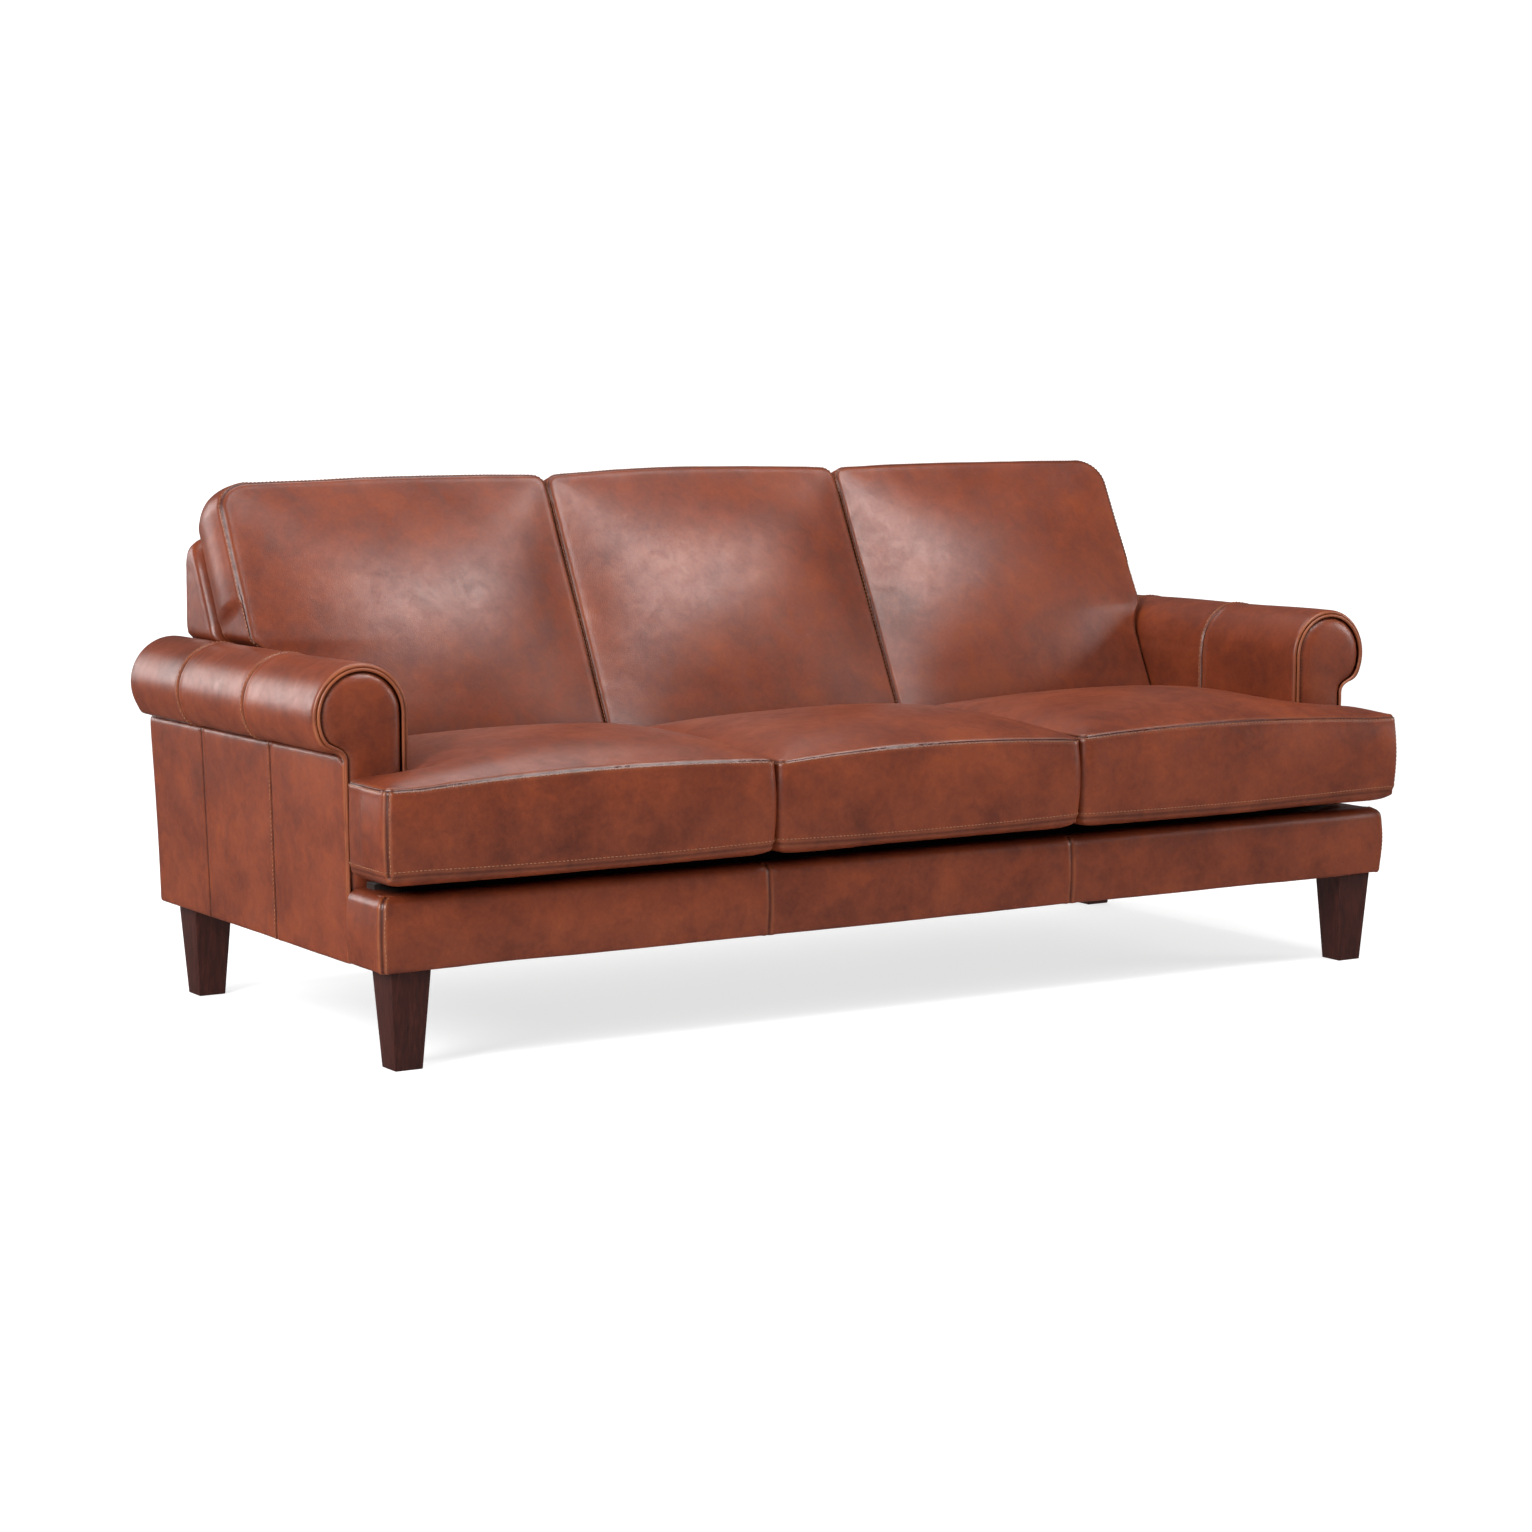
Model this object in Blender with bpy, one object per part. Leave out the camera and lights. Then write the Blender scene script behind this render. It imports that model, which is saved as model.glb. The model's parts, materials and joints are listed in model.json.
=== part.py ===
"""A three-seat sofa with rolled arms, loose seat and back cushions and tapered wooden legs.

Metres. +X is the sitter's left-hand end of the sofa, -Y is the front and +Z is up. The floor is
z = 0 and the sofa stands centred on the origin. The frame is built as a maker would build it:
rails with corner blocks, legs on hanger bolts, sinuous springs under a deck, plywood arm panels
and back ribs, then the covers, and six loose cushions that are a cover round a foam core.
"""

import math

import bmesh
import bpy

# Gap left between pieces that touch.
GAP = 0.0003

# Legs: square, tapered on all four sides.
LEG_HEIGHT = 0.170
LEG_TOP = 0.074
LEG_FOOT = 0.051
LEG_X = 1.013
LEG_FRONT_Y = -0.4005
LEG_REAR_Y = 0.410
BOLT_RADIUS = 0.004
BOLT_HOLE_RADIUS = 0.0045
BOLT_LOW = 0.112
BOLT_HIGH = 0.226

# Base frame and its covers.
BASE_HALF_WIDTH = 1.070
FRONT_Y = -0.4505
REAR_Y = 0.4875
RAIL_LOW = 0.180
RAIL_HIGH = 0.275
RAIL_THICK = 0.022
FRONT_COVER = 0.012
SIDE_COVER = 0.011
BACK_COVER = 0.010
COVER_LOW = 0.170
COVER_HIGH = 0.292
STRETCHER_X = 0.3256
DECK_CLOTH_LOW = 0.2832
DECK_CLOTH_HIGH = 0.2856
DECK_PAD_HIGH = 0.3050
SPRING_WIRE = 0.002
SPRING_Z = 0.2786
SPRING_SWING = 0.026
SPRING_PLACES = (-0.760, -0.540, -0.110, 0.110, 0.540, 0.760)

# Rolled arms, given for the right-hand (+X) arm.
ARM_FRONT_Y = -0.317
ARM_COVER_FRONT_Y = -0.309
ARM_INNER_X = 0.953
ARM_OUTER_X = 1.070
ARM_LOW = 0.168
ROLL_X = 1.041
ROLL_Z = 0.583
ROLL_RADIUS = 0.088
ROLL_END_ANGLE = -50.0
NECK = ((1.083, 0.519), (1.0715, 0.506))
ARM_WALL = 0.012
WELT_RADIUS = 0.0042
WELT_INSET = 0.0046
FACING_INSET = 0.0112

# Cushions.
SEAT_EDGE_X = 0.3256
CUSHION_GAP = 0.0015
SEAT_FRONT_Y = -0.4875
SEAT_SIDE_X = 0.9505
SEAT_EAR_X = 1.080
SEAT_EAR_BACK_Y = -0.325
SEAT_LOW_SEAM = 0.335
SEAT_TOP_SEAM = 0.478
SEAT_REAR_AT_LOW_SEAM = -0.006
RAKE = math.radians(27.34)
BACK_TOP = 0.836
BACK_TOP_Y = 0.4405
CUSHION_BACK_GAP = 0.002
BACK_LENGTH = 0.654
BACK_THICK = 0.118
BACK_CROWN = 0.030
BACK_OUTER_X = 0.9505
BACK_OUTER_HIGH_X = 1.000
COVER_WALL = 0.008
CORE_GAP = 0.0008

FINISHES = {
    "leather": ((0.27, 0.075, 0.030), 0.38, 0.0),
    "stained wood": ((0.045, 0.012, 0.008), 0.42, 0.0),
    "frame wood": ((0.56, 0.38, 0.21), 0.70, 0.0),
    "plywood": ((0.62, 0.44, 0.26), 0.72, 0.0),
    "steel": ((0.55, 0.55, 0.56), 0.35, 1.0),
    "black cloth": ((0.020, 0.019, 0.018), 0.92, 0.0),
    "deck cloth": ((0.10, 0.055, 0.035), 0.90, 0.0),
    "padding": ((0.78, 0.76, 0.70), 0.95, 0.0),
    "foam": ((0.83, 0.76, 0.52), 0.95, 0.0),
}


def clear_scene():
    for obj in list(bpy.data.objects):
        bpy.data.objects.remove(obj, do_unlink=True)


def give_finish(obj, finish):
    colour, roughness, metallic = FINISHES[finish]
    material = bpy.data.materials.new(obj.name)
    material.use_nodes = True
    shader = material.node_tree.nodes["Principled BSDF"]
    shader.inputs["Base Color"].default_value = (*colour, 1.0)
    shader.inputs["Roughness"].default_value = roughness
    shader.inputs["Metallic"].default_value = metallic
    obj.data.materials.append(material)


def add_mesh(name, points, faces, finish, smooth_angle=None):
    """One closed mesh object whose faces all look outwards."""
    mesh = bpy.data.meshes.new(name)
    mesh.from_pydata([tuple(p) for p in points], [], faces)
    work = bmesh.new()
    work.from_mesh(mesh)
    bmesh.ops.recalc_face_normals(work, faces=work.faces)
    if work.calc_volume(signed=True) < 0:
        bmesh.ops.reverse_faces(work, faces=work.faces)
    work.to_mesh(mesh)
    work.free()
    if smooth_angle is not None:
        mesh.shade_smooth()
        mesh.set_sharp_from_angle(angle=math.radians(smooth_angle))
    obj = bpy.data.objects.new(name, mesh)
    bpy.context.scene.collection.objects.link(obj)
    give_finish(obj, finish)
    return obj


def loft(name, rings, finish, smooth_angle=None, closed_ends=True):
    """A solid through rings that all have the same number of points, in order."""
    count = len(rings[0])
    points = [p for ring in rings for p in ring]
    faces = []
    for level in range(len(rings) - 1):
        low = level * count
        high = low + count
        for i in range(count):
            j = (i + 1) % count
            faces.append((low + i, low + j, high + j, high + i))
    if closed_ends:
        faces.append(tuple(range(count)))
        last = (len(rings) - 1) * count
        faces.append(tuple(last + i for i in range(count)))
    else:
        last = (len(rings) - 1) * count
        for i in range(count):
            j = (i + 1) % count
            faces.append((last + i, last + j, j, i))
    return add_mesh(name, points, faces, finish, smooth_angle)


def box(name, low, high, finish, bevel=0.0):
    """A board with its lower and upper corners at low and high."""
    centre = [(a + b) / 2 for a, b in zip(low, high)]
    half = [(b - a) / 2 for a, b in zip(low, high)]
    ring = [(-1, -1), (1, -1), (1, 1), (-1, 1)]
    rings = [[(x * half[0], y * half[1], z * half[2]) for x, y in ring] for z in (-1, 1)]
    obj = loft(name, rings, finish)
    obj.location = centre
    if bevel:
        add_bevel(obj, bevel, 1)
    return obj


def add_bevel(obj, width, segments):
    bevel = obj.modifiers.new("Soft edges", "BEVEL")
    bevel.width = width
    bevel.segments = segments
    bevel.limit_method = "ANGLE"
    bevel.angle_limit = math.radians(30)


def bar(name, outline, axis, low, high, finish, bevel=0.0, segments=1, smooth_angle=None):
    """An outline of (a, b) points carried along an axis: "x" takes (y, z), "y" (x, z), "z" (x, y)."""
    place = {
        "x": lambda a, b, along: (along, a, b),
        "y": lambda a, b, along: (a, along, b),
        "z": lambda a, b, along: (a, b, along),
    }[axis]
    rings = [[place(a, b, along) for a, b in outline] for along in (low, high)]
    obj = loft(name, rings, finish, smooth_angle)
    if bevel:
        add_bevel(obj, bevel, segments)
    return obj


def cut(target, cutter, name):
    """Cuts one solid out of another and leaves the cutter as a helper."""
    cutter.hide_render = True
    cutter.display_type = "WIRE"
    difference = target.modifiers.new(name, "BOOLEAN")
    difference.operation = "DIFFERENCE"
    difference.solver = "EXACT"
    difference.object = cutter


def mirrored(outline, side):
    """The outline of the +X side, turned over for the -X side."""
    return [(side * a, b) for a, b in outline]


def square_ring(half, z):
    """Sixteen points round a square, so that it can join a round hole."""
    points = []
    for i in range(16):
        angle = 2 * math.pi * (i + 0.5) / 16
        reach = half / max(abs(math.cos(angle)), abs(math.sin(angle)))
        points.append((reach * math.cos(angle), reach * math.sin(angle), z))
    for i, (sx, sy) in ((1, (1, 1)), (5, (-1, 1)), (9, (-1, -1)), (13, (1, -1))):
        points[i] = (sx * half, sy * half, z)
    return points


def round_ring(radius, z):
    """Sixteen points round a circle, in step with the square ring."""
    return [
        (
            radius * math.cos(2 * math.pi * (i + 0.5) / 16),
            radius * math.sin(2 * math.pi * (i + 0.5) / 16),
            z,
        )
        for i in range(16)
    ]


def make_leg(place, x, y):
    """A tapered leg with a blind hole for its hanger bolt."""
    rings = [
        round_ring(BOLT_HOLE_RADIUS, BOLT_LOW - 0.004),
        round_ring(BOLT_HOLE_RADIUS, LEG_HEIGHT),
        square_ring(LEG_TOP / 2, LEG_HEIGHT),
        square_ring(LEG_FOOT / 2, 0.0),
    ]
    leg = loft(f"leg_{place}", rings, "stained wood")
    leg.location = (x, y, 0)


def make_leg_bolt(place, x, y):
    rings = [round_ring(BOLT_RADIUS, BOLT_LOW), round_ring(BOLT_RADIUS, BOLT_HIGH)]
    bolt = loft(f"leg_bolt_{place}", rings, "steel", smooth_angle=40)
    bolt.location = (x, y, 0)


def make_corner_block(place, x, y):
    """A block glued into the corner of the rails, drilled for the leg bolt."""
    side = 1 if x > 0 else -1
    end = 1 if y > 0 else -1
    outer_x = BASE_HALF_WIDTH - SIDE_COVER - RAIL_THICK - 2 * GAP
    low_z = COVER_LOW + 0.0016
    high_z = low_z + 0.042
    if end > 0:
        outer_y = REAR_Y - BACK_COVER - RAIL_THICK - 2 * GAP
    else:
        outer_y = -FRONT_Y - FRONT_COVER - RAIL_THICK - 2 * GAP
    inner_x = outer_x - 0.085
    inner_y = outer_y - 0.095
    local = []
    for px, py, pz in square_ring(1.0, 0.0):
        cx = inner_x if px < 0 else outer_x
        cy = inner_y if py < 0 else outer_y
        centre_x = abs(x)
        centre_y = abs(y)
        local.append(
            (
                centre_x + abs(px) * (cx - centre_x),
                centre_y + abs(py) * (cy - centre_y),
            )
        )
    hole = [(abs(x) + a, abs(y) + b) for a, b, _ in round_ring(BOLT_HOLE_RADIUS, 0)]

    def ring(outline, z):
        return [(side * a, end * b, z) for a, b in outline]

    rings = [ring(hole, low_z), ring(hole, high_z), ring(local, high_z), ring(local, low_z)]
    loft(f"corner_block_{place}", rings, "frame wood", closed_ends=False)


def make_base_frame():
    outer_x = BASE_HALF_WIDTH - SIDE_COVER - GAP
    rail_front = FRONT_Y + FRONT_COVER + GAP
    rail_rear = REAR_Y - BACK_COVER - GAP
    front_inner = rail_front + RAIL_THICK
    rear_inner = rail_rear - RAIL_THICK
    box(
        "front_rail",
        (-outer_x, rail_front, RAIL_LOW),
        (outer_x, front_inner, RAIL_HIGH),
        "frame wood",
    )
    box(
        "rear_rail",
        (-outer_x, rear_inner, RAIL_LOW),
        (outer_x, rail_rear, RAIL_HIGH),
        "frame wood",
    )
    for place, side in (("left", -1), ("right", 1)):
        near = side * (outer_x - RAIL_THICK)
        far = side * outer_x
        box(
            f"side_rail_{place}",
            (min(near, far), front_inner + GAP, RAIL_LOW),
            (max(near, far), rear_inner - GAP, RAIL_HIGH),
            "frame wood",
        )
        box(
            f"seat_stretcher_{place}",
            (side * STRETCHER_X - 0.011, front_inner + GAP, RAIL_LOW),
            (side * STRETCHER_X + 0.011, rear_inner - GAP, RAIL_HIGH - 0.010),
            "frame wood",
        )


def make_spring(number, x):
    """A sinuous spring: flat wire bends between the front and the rear rail."""
    curve = bpy.data.curves.new(f"sinuous_spring_{number}", "CURVE")
    curve.dimensions = "3D"
    curve.bevel_depth = SPRING_WIRE
    curve.bevel_resolution = 1
    curve.use_fill_caps = True
    start = FRONT_Y + FRONT_COVER + 0.012
    end = REAR_Y - BACK_COVER - 0.012
    bends = 17
    spots = [(0.0, start)]
    pitch = (end - start) / bends
    for bend in range(bends):
        side = 1 if bend % 2 == 0 else -1
        middle = start + (bend + 0.5) * pitch
        spots.append((side * SPRING_SWING * 0.75, middle - pitch * 0.33))
        spots.append((side * SPRING_SWING, middle))
        spots.append((side * SPRING_SWING * 0.75, middle + pitch * 0.33))
    spots.append((0.0, end))
    spline = curve.splines.new("POLY")
    spline.points.add(len(spots) - 1)
    for point, (swing, along) in zip(spline.points, spots):
        point.co = (swing, along, 0.0, 1.0)
    obj = bpy.data.objects.new(f"sinuous_spring_{number}", curve)
    bpy.context.scene.collection.objects.link(obj)
    obj.location = (x, 0, SPRING_Z)
    give_finish(obj, "steel")


def make_deck():
    """The cloth and the felt pad over the springs, which the seat cushions lie on."""
    front = FRONT_Y + FRONT_COVER + GAP + 0.002
    ear_back = ARM_FRONT_Y - 0.001
    side = ARM_INNER_X - 0.001
    wide = BASE_HALF_WIDTH - SIDE_COVER - 0.002
    rear = back_face_y(DECK_PAD_HIGH) - 0.004
    outline = [
        (-wide, front),
        (wide, front),
        (wide, ear_back),
        (side, ear_back),
        (side, rear),
        (-side, rear),
        (-side, ear_back),
        (-wide, ear_back),
    ]
    bar("deck_cloth", outline, "z", DECK_CLOTH_LOW, DECK_CLOTH_HIGH, "deck cloth")
    pad_front = front + 0.020
    pad = [(x, max(y, pad_front)) for x, y in outline]
    bar("deck_pad", pad, "z", DECK_CLOTH_HIGH + GAP, DECK_PAD_HIGH, "deck cloth", 0.004)


def make_dust_cover():
    """The thin black cloth under the frame, cut away round the tops of the legs."""
    wide = BASE_HALF_WIDTH - 0.018
    front = FRONT_Y + 0.020
    rear = REAR_Y - 0.018
    leg_x = LEG_X - LEG_TOP / 2 - 0.004
    leg_front = LEG_FRONT_Y + LEG_TOP / 2 + 0.004
    leg_rear = LEG_REAR_Y - LEG_TOP / 2 - 0.004
    outline = [
        (-leg_x, front),
        (leg_x, front),
        (leg_x, leg_front),
        (wide, leg_front),
        (wide, leg_rear),
        (leg_x, leg_rear),
        (leg_x, rear),
        (-leg_x, rear),
        (-leg_x, leg_rear),
        (-wide, leg_rear),
        (-wide, leg_front),
        (-leg_x, leg_front),
    ]
    bar("dust_cover", outline, "z", COVER_LOW, COVER_LOW + 0.0012, "black cloth")


def make_rail_covers():
    """The padded leather over the front rail, with a short return at each end."""
    thick_y = FRONT_Y + FRONT_COVER
    outline = [
        (FRONT_Y + 0.003, COVER_LOW),
        (FRONT_Y, COVER_LOW + 0.006),
        (FRONT_Y, COVER_HIGH - 0.022),
        (FRONT_Y + 0.006, COVER_HIGH - 0.007),
        (FRONT_Y + 0.020, COVER_HIGH),
        (FRONT_Y + 0.034, COVER_HIGH),
        (FRONT_Y + 0.034, DECK_CLOTH_HIGH + GAP),
        (FRONT_Y + 0.012, DECK_CLOTH_HIGH + GAP),
        (thick_y, RAIL_HIGH + GAP),
        (thick_y, COVER_LOW),
    ]
    bar(
        "rail_cover_front",
        outline,
        "x",
        -BASE_HALF_WIDTH + SIDE_COVER + GAP,
        BASE_HALF_WIDTH - SIDE_COVER - GAP,
        "leather",
        smooth_angle=50,
    )
    low_x = BASE_HALF_WIDTH - SIDE_COVER
    section = [
        (BASE_HALF_WIDTH - 0.003, COVER_LOW),
        (BASE_HALF_WIDTH, COVER_LOW + 0.006),
        (BASE_HALF_WIDTH, COVER_HIGH - 0.022),
        (BASE_HALF_WIDTH - 0.004, COVER_HIGH - 0.007),
        (low_x, COVER_HIGH - 0.002),
        (low_x, COVER_LOW),
    ]
    for place, side in (("left", -1), ("right", 1)):
        bar(
            f"rail_cover_return_{place}",
            mirrored(section, side),
            "y",
            FRONT_Y + 0.001,
            ARM_COVER_FRONT_Y - GAP,
            "leather",
            smooth_angle=50,
        )


def roll_points(radius, first, last, count):
    """Points round the arm roll, from one angle to another in degrees."""
    points = []
    for i in range(count):
        angle = math.radians(first + (last - first) * i / (count - 1))
        points.append((ROLL_X + radius * math.cos(angle), ROLL_Z + radius * math.sin(angle)))
    return points


def arm_outline(inset, inner_low, outer_low):
    """The arm seen from the front: straight inside, the roll, the neck and the outer panel."""
    outline = [(ARM_INNER_X + inset, inner_low)]
    outline += roll_points(ROLL_RADIUS - inset, 180.0, ROLL_END_ANGLE, 19)
    outline += [(x - inset, z + inset) for x, z in NECK]
    outline.append((ARM_OUTER_X - inset, outer_low))
    return outline


def make_arm(place, side):
    inner_low = RAIL_HIGH + 0.0015
    cover_outline = arm_outline(0.0, inner_low, ARM_LOW)
    cover_outline += [(ARM_OUTER_X - 0.015, ARM_LOW), (ARM_OUTER_X - 0.015, inner_low)]
    cover = bar(
        f"arm_cover_{place}",
        mirrored(cover_outline, side),
        "y",
        ARM_COVER_FRONT_Y,
        REAR_Y,
        "leather",
        smooth_angle=35,
    )
    room = roll_points(ROLL_RADIUS - ARM_WALL, 180.0, -25.0, 15)
    room = [(ARM_INNER_X + ARM_WALL, 0.10)] + room
    room += [(ARM_OUTER_X - SIDE_COVER, 0.53), (ARM_OUTER_X - SIDE_COVER, 0.10)]
    hollow = bar(
        f"arm_hollow_{place}",
        mirrored(room, side),
        "y",
        ARM_COVER_FRONT_Y - 0.05,
        REAR_Y - BACK_COVER,
        "leather",
    )
    cut(cover, hollow, "Room for the frame")

    facing = arm_outline(FACING_INSET, COVER_HIGH + 0.003, COVER_HIGH + 0.003)
    bar(
        f"arm_facing_{place}",
        mirrored(facing, side),
        "y",
        ARM_FRONT_Y,
        ARM_COVER_FRONT_Y - GAP,
        "leather",
        smooth_angle=35,
    )

    panel_x = BASE_HALF_WIDTH - SIDE_COVER - GAP
    inner, outer = sorted((side * (panel_x - 0.018), side * panel_x))
    box(
        f"arm_panel_{place}",
        (inner, ARM_COVER_FRONT_Y + 0.004, RAIL_HIGH + GAP),
        (outer, REAR_Y - BACK_COVER - 0.004, 0.545),
        "plywood",
    )
    inner, outer = sorted((side * 0.985, side * 1.086))
    box(
        f"arm_top_rail_{place}",
        (inner, ARM_COVER_FRONT_Y + 0.004, 0.5453),
        (outer, REAR_Y - BACK_COVER - 0.004, 0.5713),
        "frame wood",
    )

    welt = arm_outline(WELT_INSET, COVER_HIGH + 0.004, COVER_HIGH + 0.004)
    curve = bpy.data.curves.new(f"facing_welt_{place}", "CURVE")
    curve.dimensions = "3D"
    curve.bevel_depth = WELT_RADIUS
    curve.bevel_resolution = 1
    curve.use_fill_caps = True
    spline = curve.splines.new("POLY")
    spline.points.add(len(welt) - 1)
    for point, (x, z) in zip(spline.points, mirrored(welt, side)):
        point.co = (x, 0.0, z, 1.0)
    obj = bpy.data.objects.new(f"facing_welt_{place}", curve)
    bpy.context.scene.collection.objects.link(obj)
    obj.location = (0, ARM_COVER_FRONT_Y - WELT_RADIUS - GAP, 0)
    give_finish(obj, "leather")


def back_face_y(z):
    """The raked front of the inner back, which the back cushions lean on."""
    return BACK_TOP_Y + (z - BACK_TOP) * math.tan(RAKE)


def make_back():
    rear_inner = REAR_Y - BACK_COVER - GAP
    low = DECK_PAD_HIGH + 0.0025
    board = 0.022

    # Plywood ribs with a raked front edge, and the two rails that join them.
    rib_rear = rear_inner - RAIL_THICK - GAP
    lower_front = back_face_y(low + 0.040) + 0.0165
    lower_rear = lower_front + board
    top_low = 0.778
    for number, x in enumerate((-0.925, -STRETCHER_X, STRETCHER_X, 0.925), 1):
        outline = [
            (rib_rear, RAIL_HIGH - 0.0097),
            (rib_rear, top_low - GAP),
            (back_face_y(top_low) + 0.017, top_low - GAP),
            (lower_rear + GAP, low + 0.062),
            (lower_rear + GAP, low),
            (rib_rear - 0.050, low),
            (rib_rear - 0.050, RAIL_HIGH - 0.0097),
        ]
        rib = bar(f"back_rib_{number}", outline, "x", -0.009, 0.009, "plywood")
        rib.location = (x, 0, 0)
    box(
        "back_lower_rail",
        (-0.945, lower_front, low),
        (0.945, lower_rear, low + 0.040),
        "frame wood",
    )
    box(
        "back_top_rail",
        (-0.985, rear_inner - RAIL_THICK, top_low),
        (0.985, rear_inner, 0.822),
        "frame wood",
    )

    # The outer back is narrow between the arms and wider above them.
    step = ROLL_Z + ROLL_RADIUS + 0.002
    narrow = ARM_INNER_X - 0.0006
    wide = 1.012
    foot = ARM_OUTER_X - 0.0156
    foot_high = RAIL_HIGH + 0.0010
    panel = [
        (-foot, ARM_LOW),
        (foot, ARM_LOW),
        (foot, foot_high),
        (narrow, foot_high),
        (narrow, step),
        (wide, step),
        (wide, BACK_TOP - 0.030),
        (wide - 0.009, BACK_TOP - 0.009),
        (wide - 0.030, BACK_TOP),
        (-wide + 0.030, BACK_TOP),
        (-wide + 0.009, BACK_TOP - 0.009),
        (-wide, BACK_TOP - 0.030),
        (-wide, step),
        (-narrow, step),
        (-narrow, foot_high),
        (-foot, foot_high),
    ]
    outer = bar(
        "outer_back_cover",
        panel,
        "y",
        0.30,
        REAR_Y,
        "leather",
        smooth_angle=35,
    )
    wall = 0.010
    hollow_outline = [
        (-1.2, 0.0),
        (1.2, 0.0),
        (1.2, step - 0.1),
        (wide - wall, step - 0.1),
        (wide - wall, BACK_TOP - wall),
        (-wide + wall, BACK_TOP - wall),
        (-wide + wall, step - 0.1),
        (-1.2, step - 0.1),
    ]
    hollow = bar("back_hollow", hollow_outline, "y", 0.20, REAR_Y - BACK_COVER, "leather")
    cut(outer, hollow, "Room for the ribs")
    # The front of the shell is trimmed to the rake, where the inner back closes it.
    z_low = 0.0
    z_high = 1.0
    trim_outline = [
        (back_face_y(z_low) - 1.0, z_low),
        (back_face_y(z_low) + 0.0142, z_low),
        (back_face_y(z_high) + 0.0142, z_high),
        (back_face_y(z_low) - 1.0, z_high),
    ]
    trim = bar("back_trim", trim_outline, "x", -1.3, 1.3, "leather")
    cut(outer, trim, "Trim to the rake")

    # The inner back: a padded leather sheet on the raked front edges of the ribs.
    inner_low = 0.3125
    thick = 0.0135
    low_t = inner_low
    high_t = BACK_TOP - 0.004
    step_rings = []
    for shift in (0.0, thick):
        ring = []
        for x, z in (
            (-narrow, low_t),
            (narrow, low_t),
            (narrow, step),
            (wide, step),
            (wide, high_t - 0.028),
            (wide - 0.009, high_t - 0.008),
            (wide - 0.028, high_t),
            (-wide + 0.028, high_t),
            (-wide + 0.009, high_t - 0.008),
            (-wide, high_t - 0.028),
            (-wide, step),
            (-narrow, step),
        ):
            ring.append((x, back_face_y(z) + shift, z))
        step_rings.append(ring)
    loft("inner_back_cover", step_rings, "leather", smooth_angle=35)


def pillow(name, outline_at, levels, finish, smooth_angle=40):
    """A soft solid through outlines: levels are (height, inset) and the top and bottom are flat."""
    rings = [[(a, b, h) for a, b in outline_at(h, inset)] for h, inset in levels]
    return loft(name, rings, finish, smooth_angle)


def seat_outline(kind):
    """The plan of a seat cushion, with an ear in front of the arm on an outer one."""
    edge = SEAT_EDGE_X - CUSHION_GAP

    def rear(height, inset):
        return SEAT_REAR_AT_LOW_SEAM + (height - SEAT_LOW_SEAM) * math.tan(RAKE) - inset

    def middle(height, inset):
        back = rear(height, inset)
        front = SEAT_FRONT_Y + inset
        side = edge - inset
        return [
            (-side, front),
            (side, front),
            (side, back),
            (-side, back),
        ]

    def outer(height, inset):
        back = rear(height, inset)
        front = SEAT_FRONT_Y + inset
        near = SEAT_EDGE_X + CUSHION_GAP + inset
        ear = SEAT_EAR_X - inset
        ear_back = SEAT_EAR_BACK_Y - inset
        far = SEAT_SIDE_X - inset
        return [
            (near, front),
            (ear, front),
            (ear, ear_back),
            (far, ear_back),
            (far, back),
            (near, back),
        ]

    if kind == "middle":
        return middle
    if kind == "right":
        return outer
    return lambda height, inset: [(-a, b) for a, b in outer(height, inset)]


SEAT_LEVELS = [
    (0.3090, 0.055),
    (0.3170, 0.030),
    (0.3290, 0.008),
    (0.3400, 0.000),
    (0.4740, 0.000),
    (0.4880, 0.006),
    (0.5050, 0.024),
    (0.5220, 0.055),
]


def shrunk(levels, wall):
    """The same levels for a solid that lies inside by the wall."""
    low = levels[0][0]
    high = levels[-1][0]
    middle = (low + high) / 2
    factor = (high - low - 2 * wall) / (high - low)
    return [(middle + (h - middle) * factor, inset + wall) for h, inset in levels]


def make_seat_cushion(kind, empty):
    outline = seat_outline(kind)
    cover = pillow(f"seat_cushion_cover_{kind}", outline, SEAT_LEVELS, "leather")
    hollow = pillow(
        f"seat_hollow_{kind}", outline, shrunk(SEAT_LEVELS, COVER_WALL), "leather"
    )
    cut(cover, hollow, "Room for the core")
    centre = {"left": -0.64, "middle": 0.0, "right": 0.64}[kind]
    slot = box(
        f"seat_zip_{kind}",
        (centre - 0.22, -0.03, 0.388),
        (centre + 0.22, 0.09, 0.400),
        "leather",
    )
    cut(cover, slot, "Zip opening")
    core = pillow(
        f"seat_cushion_core_{kind}",
        outline,
        shrunk(SEAT_LEVELS, COVER_WALL + CORE_GAP),
        "foam",
    )
    for obj in (cover, core, hollow, slot):
        obj.parent = empty


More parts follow.
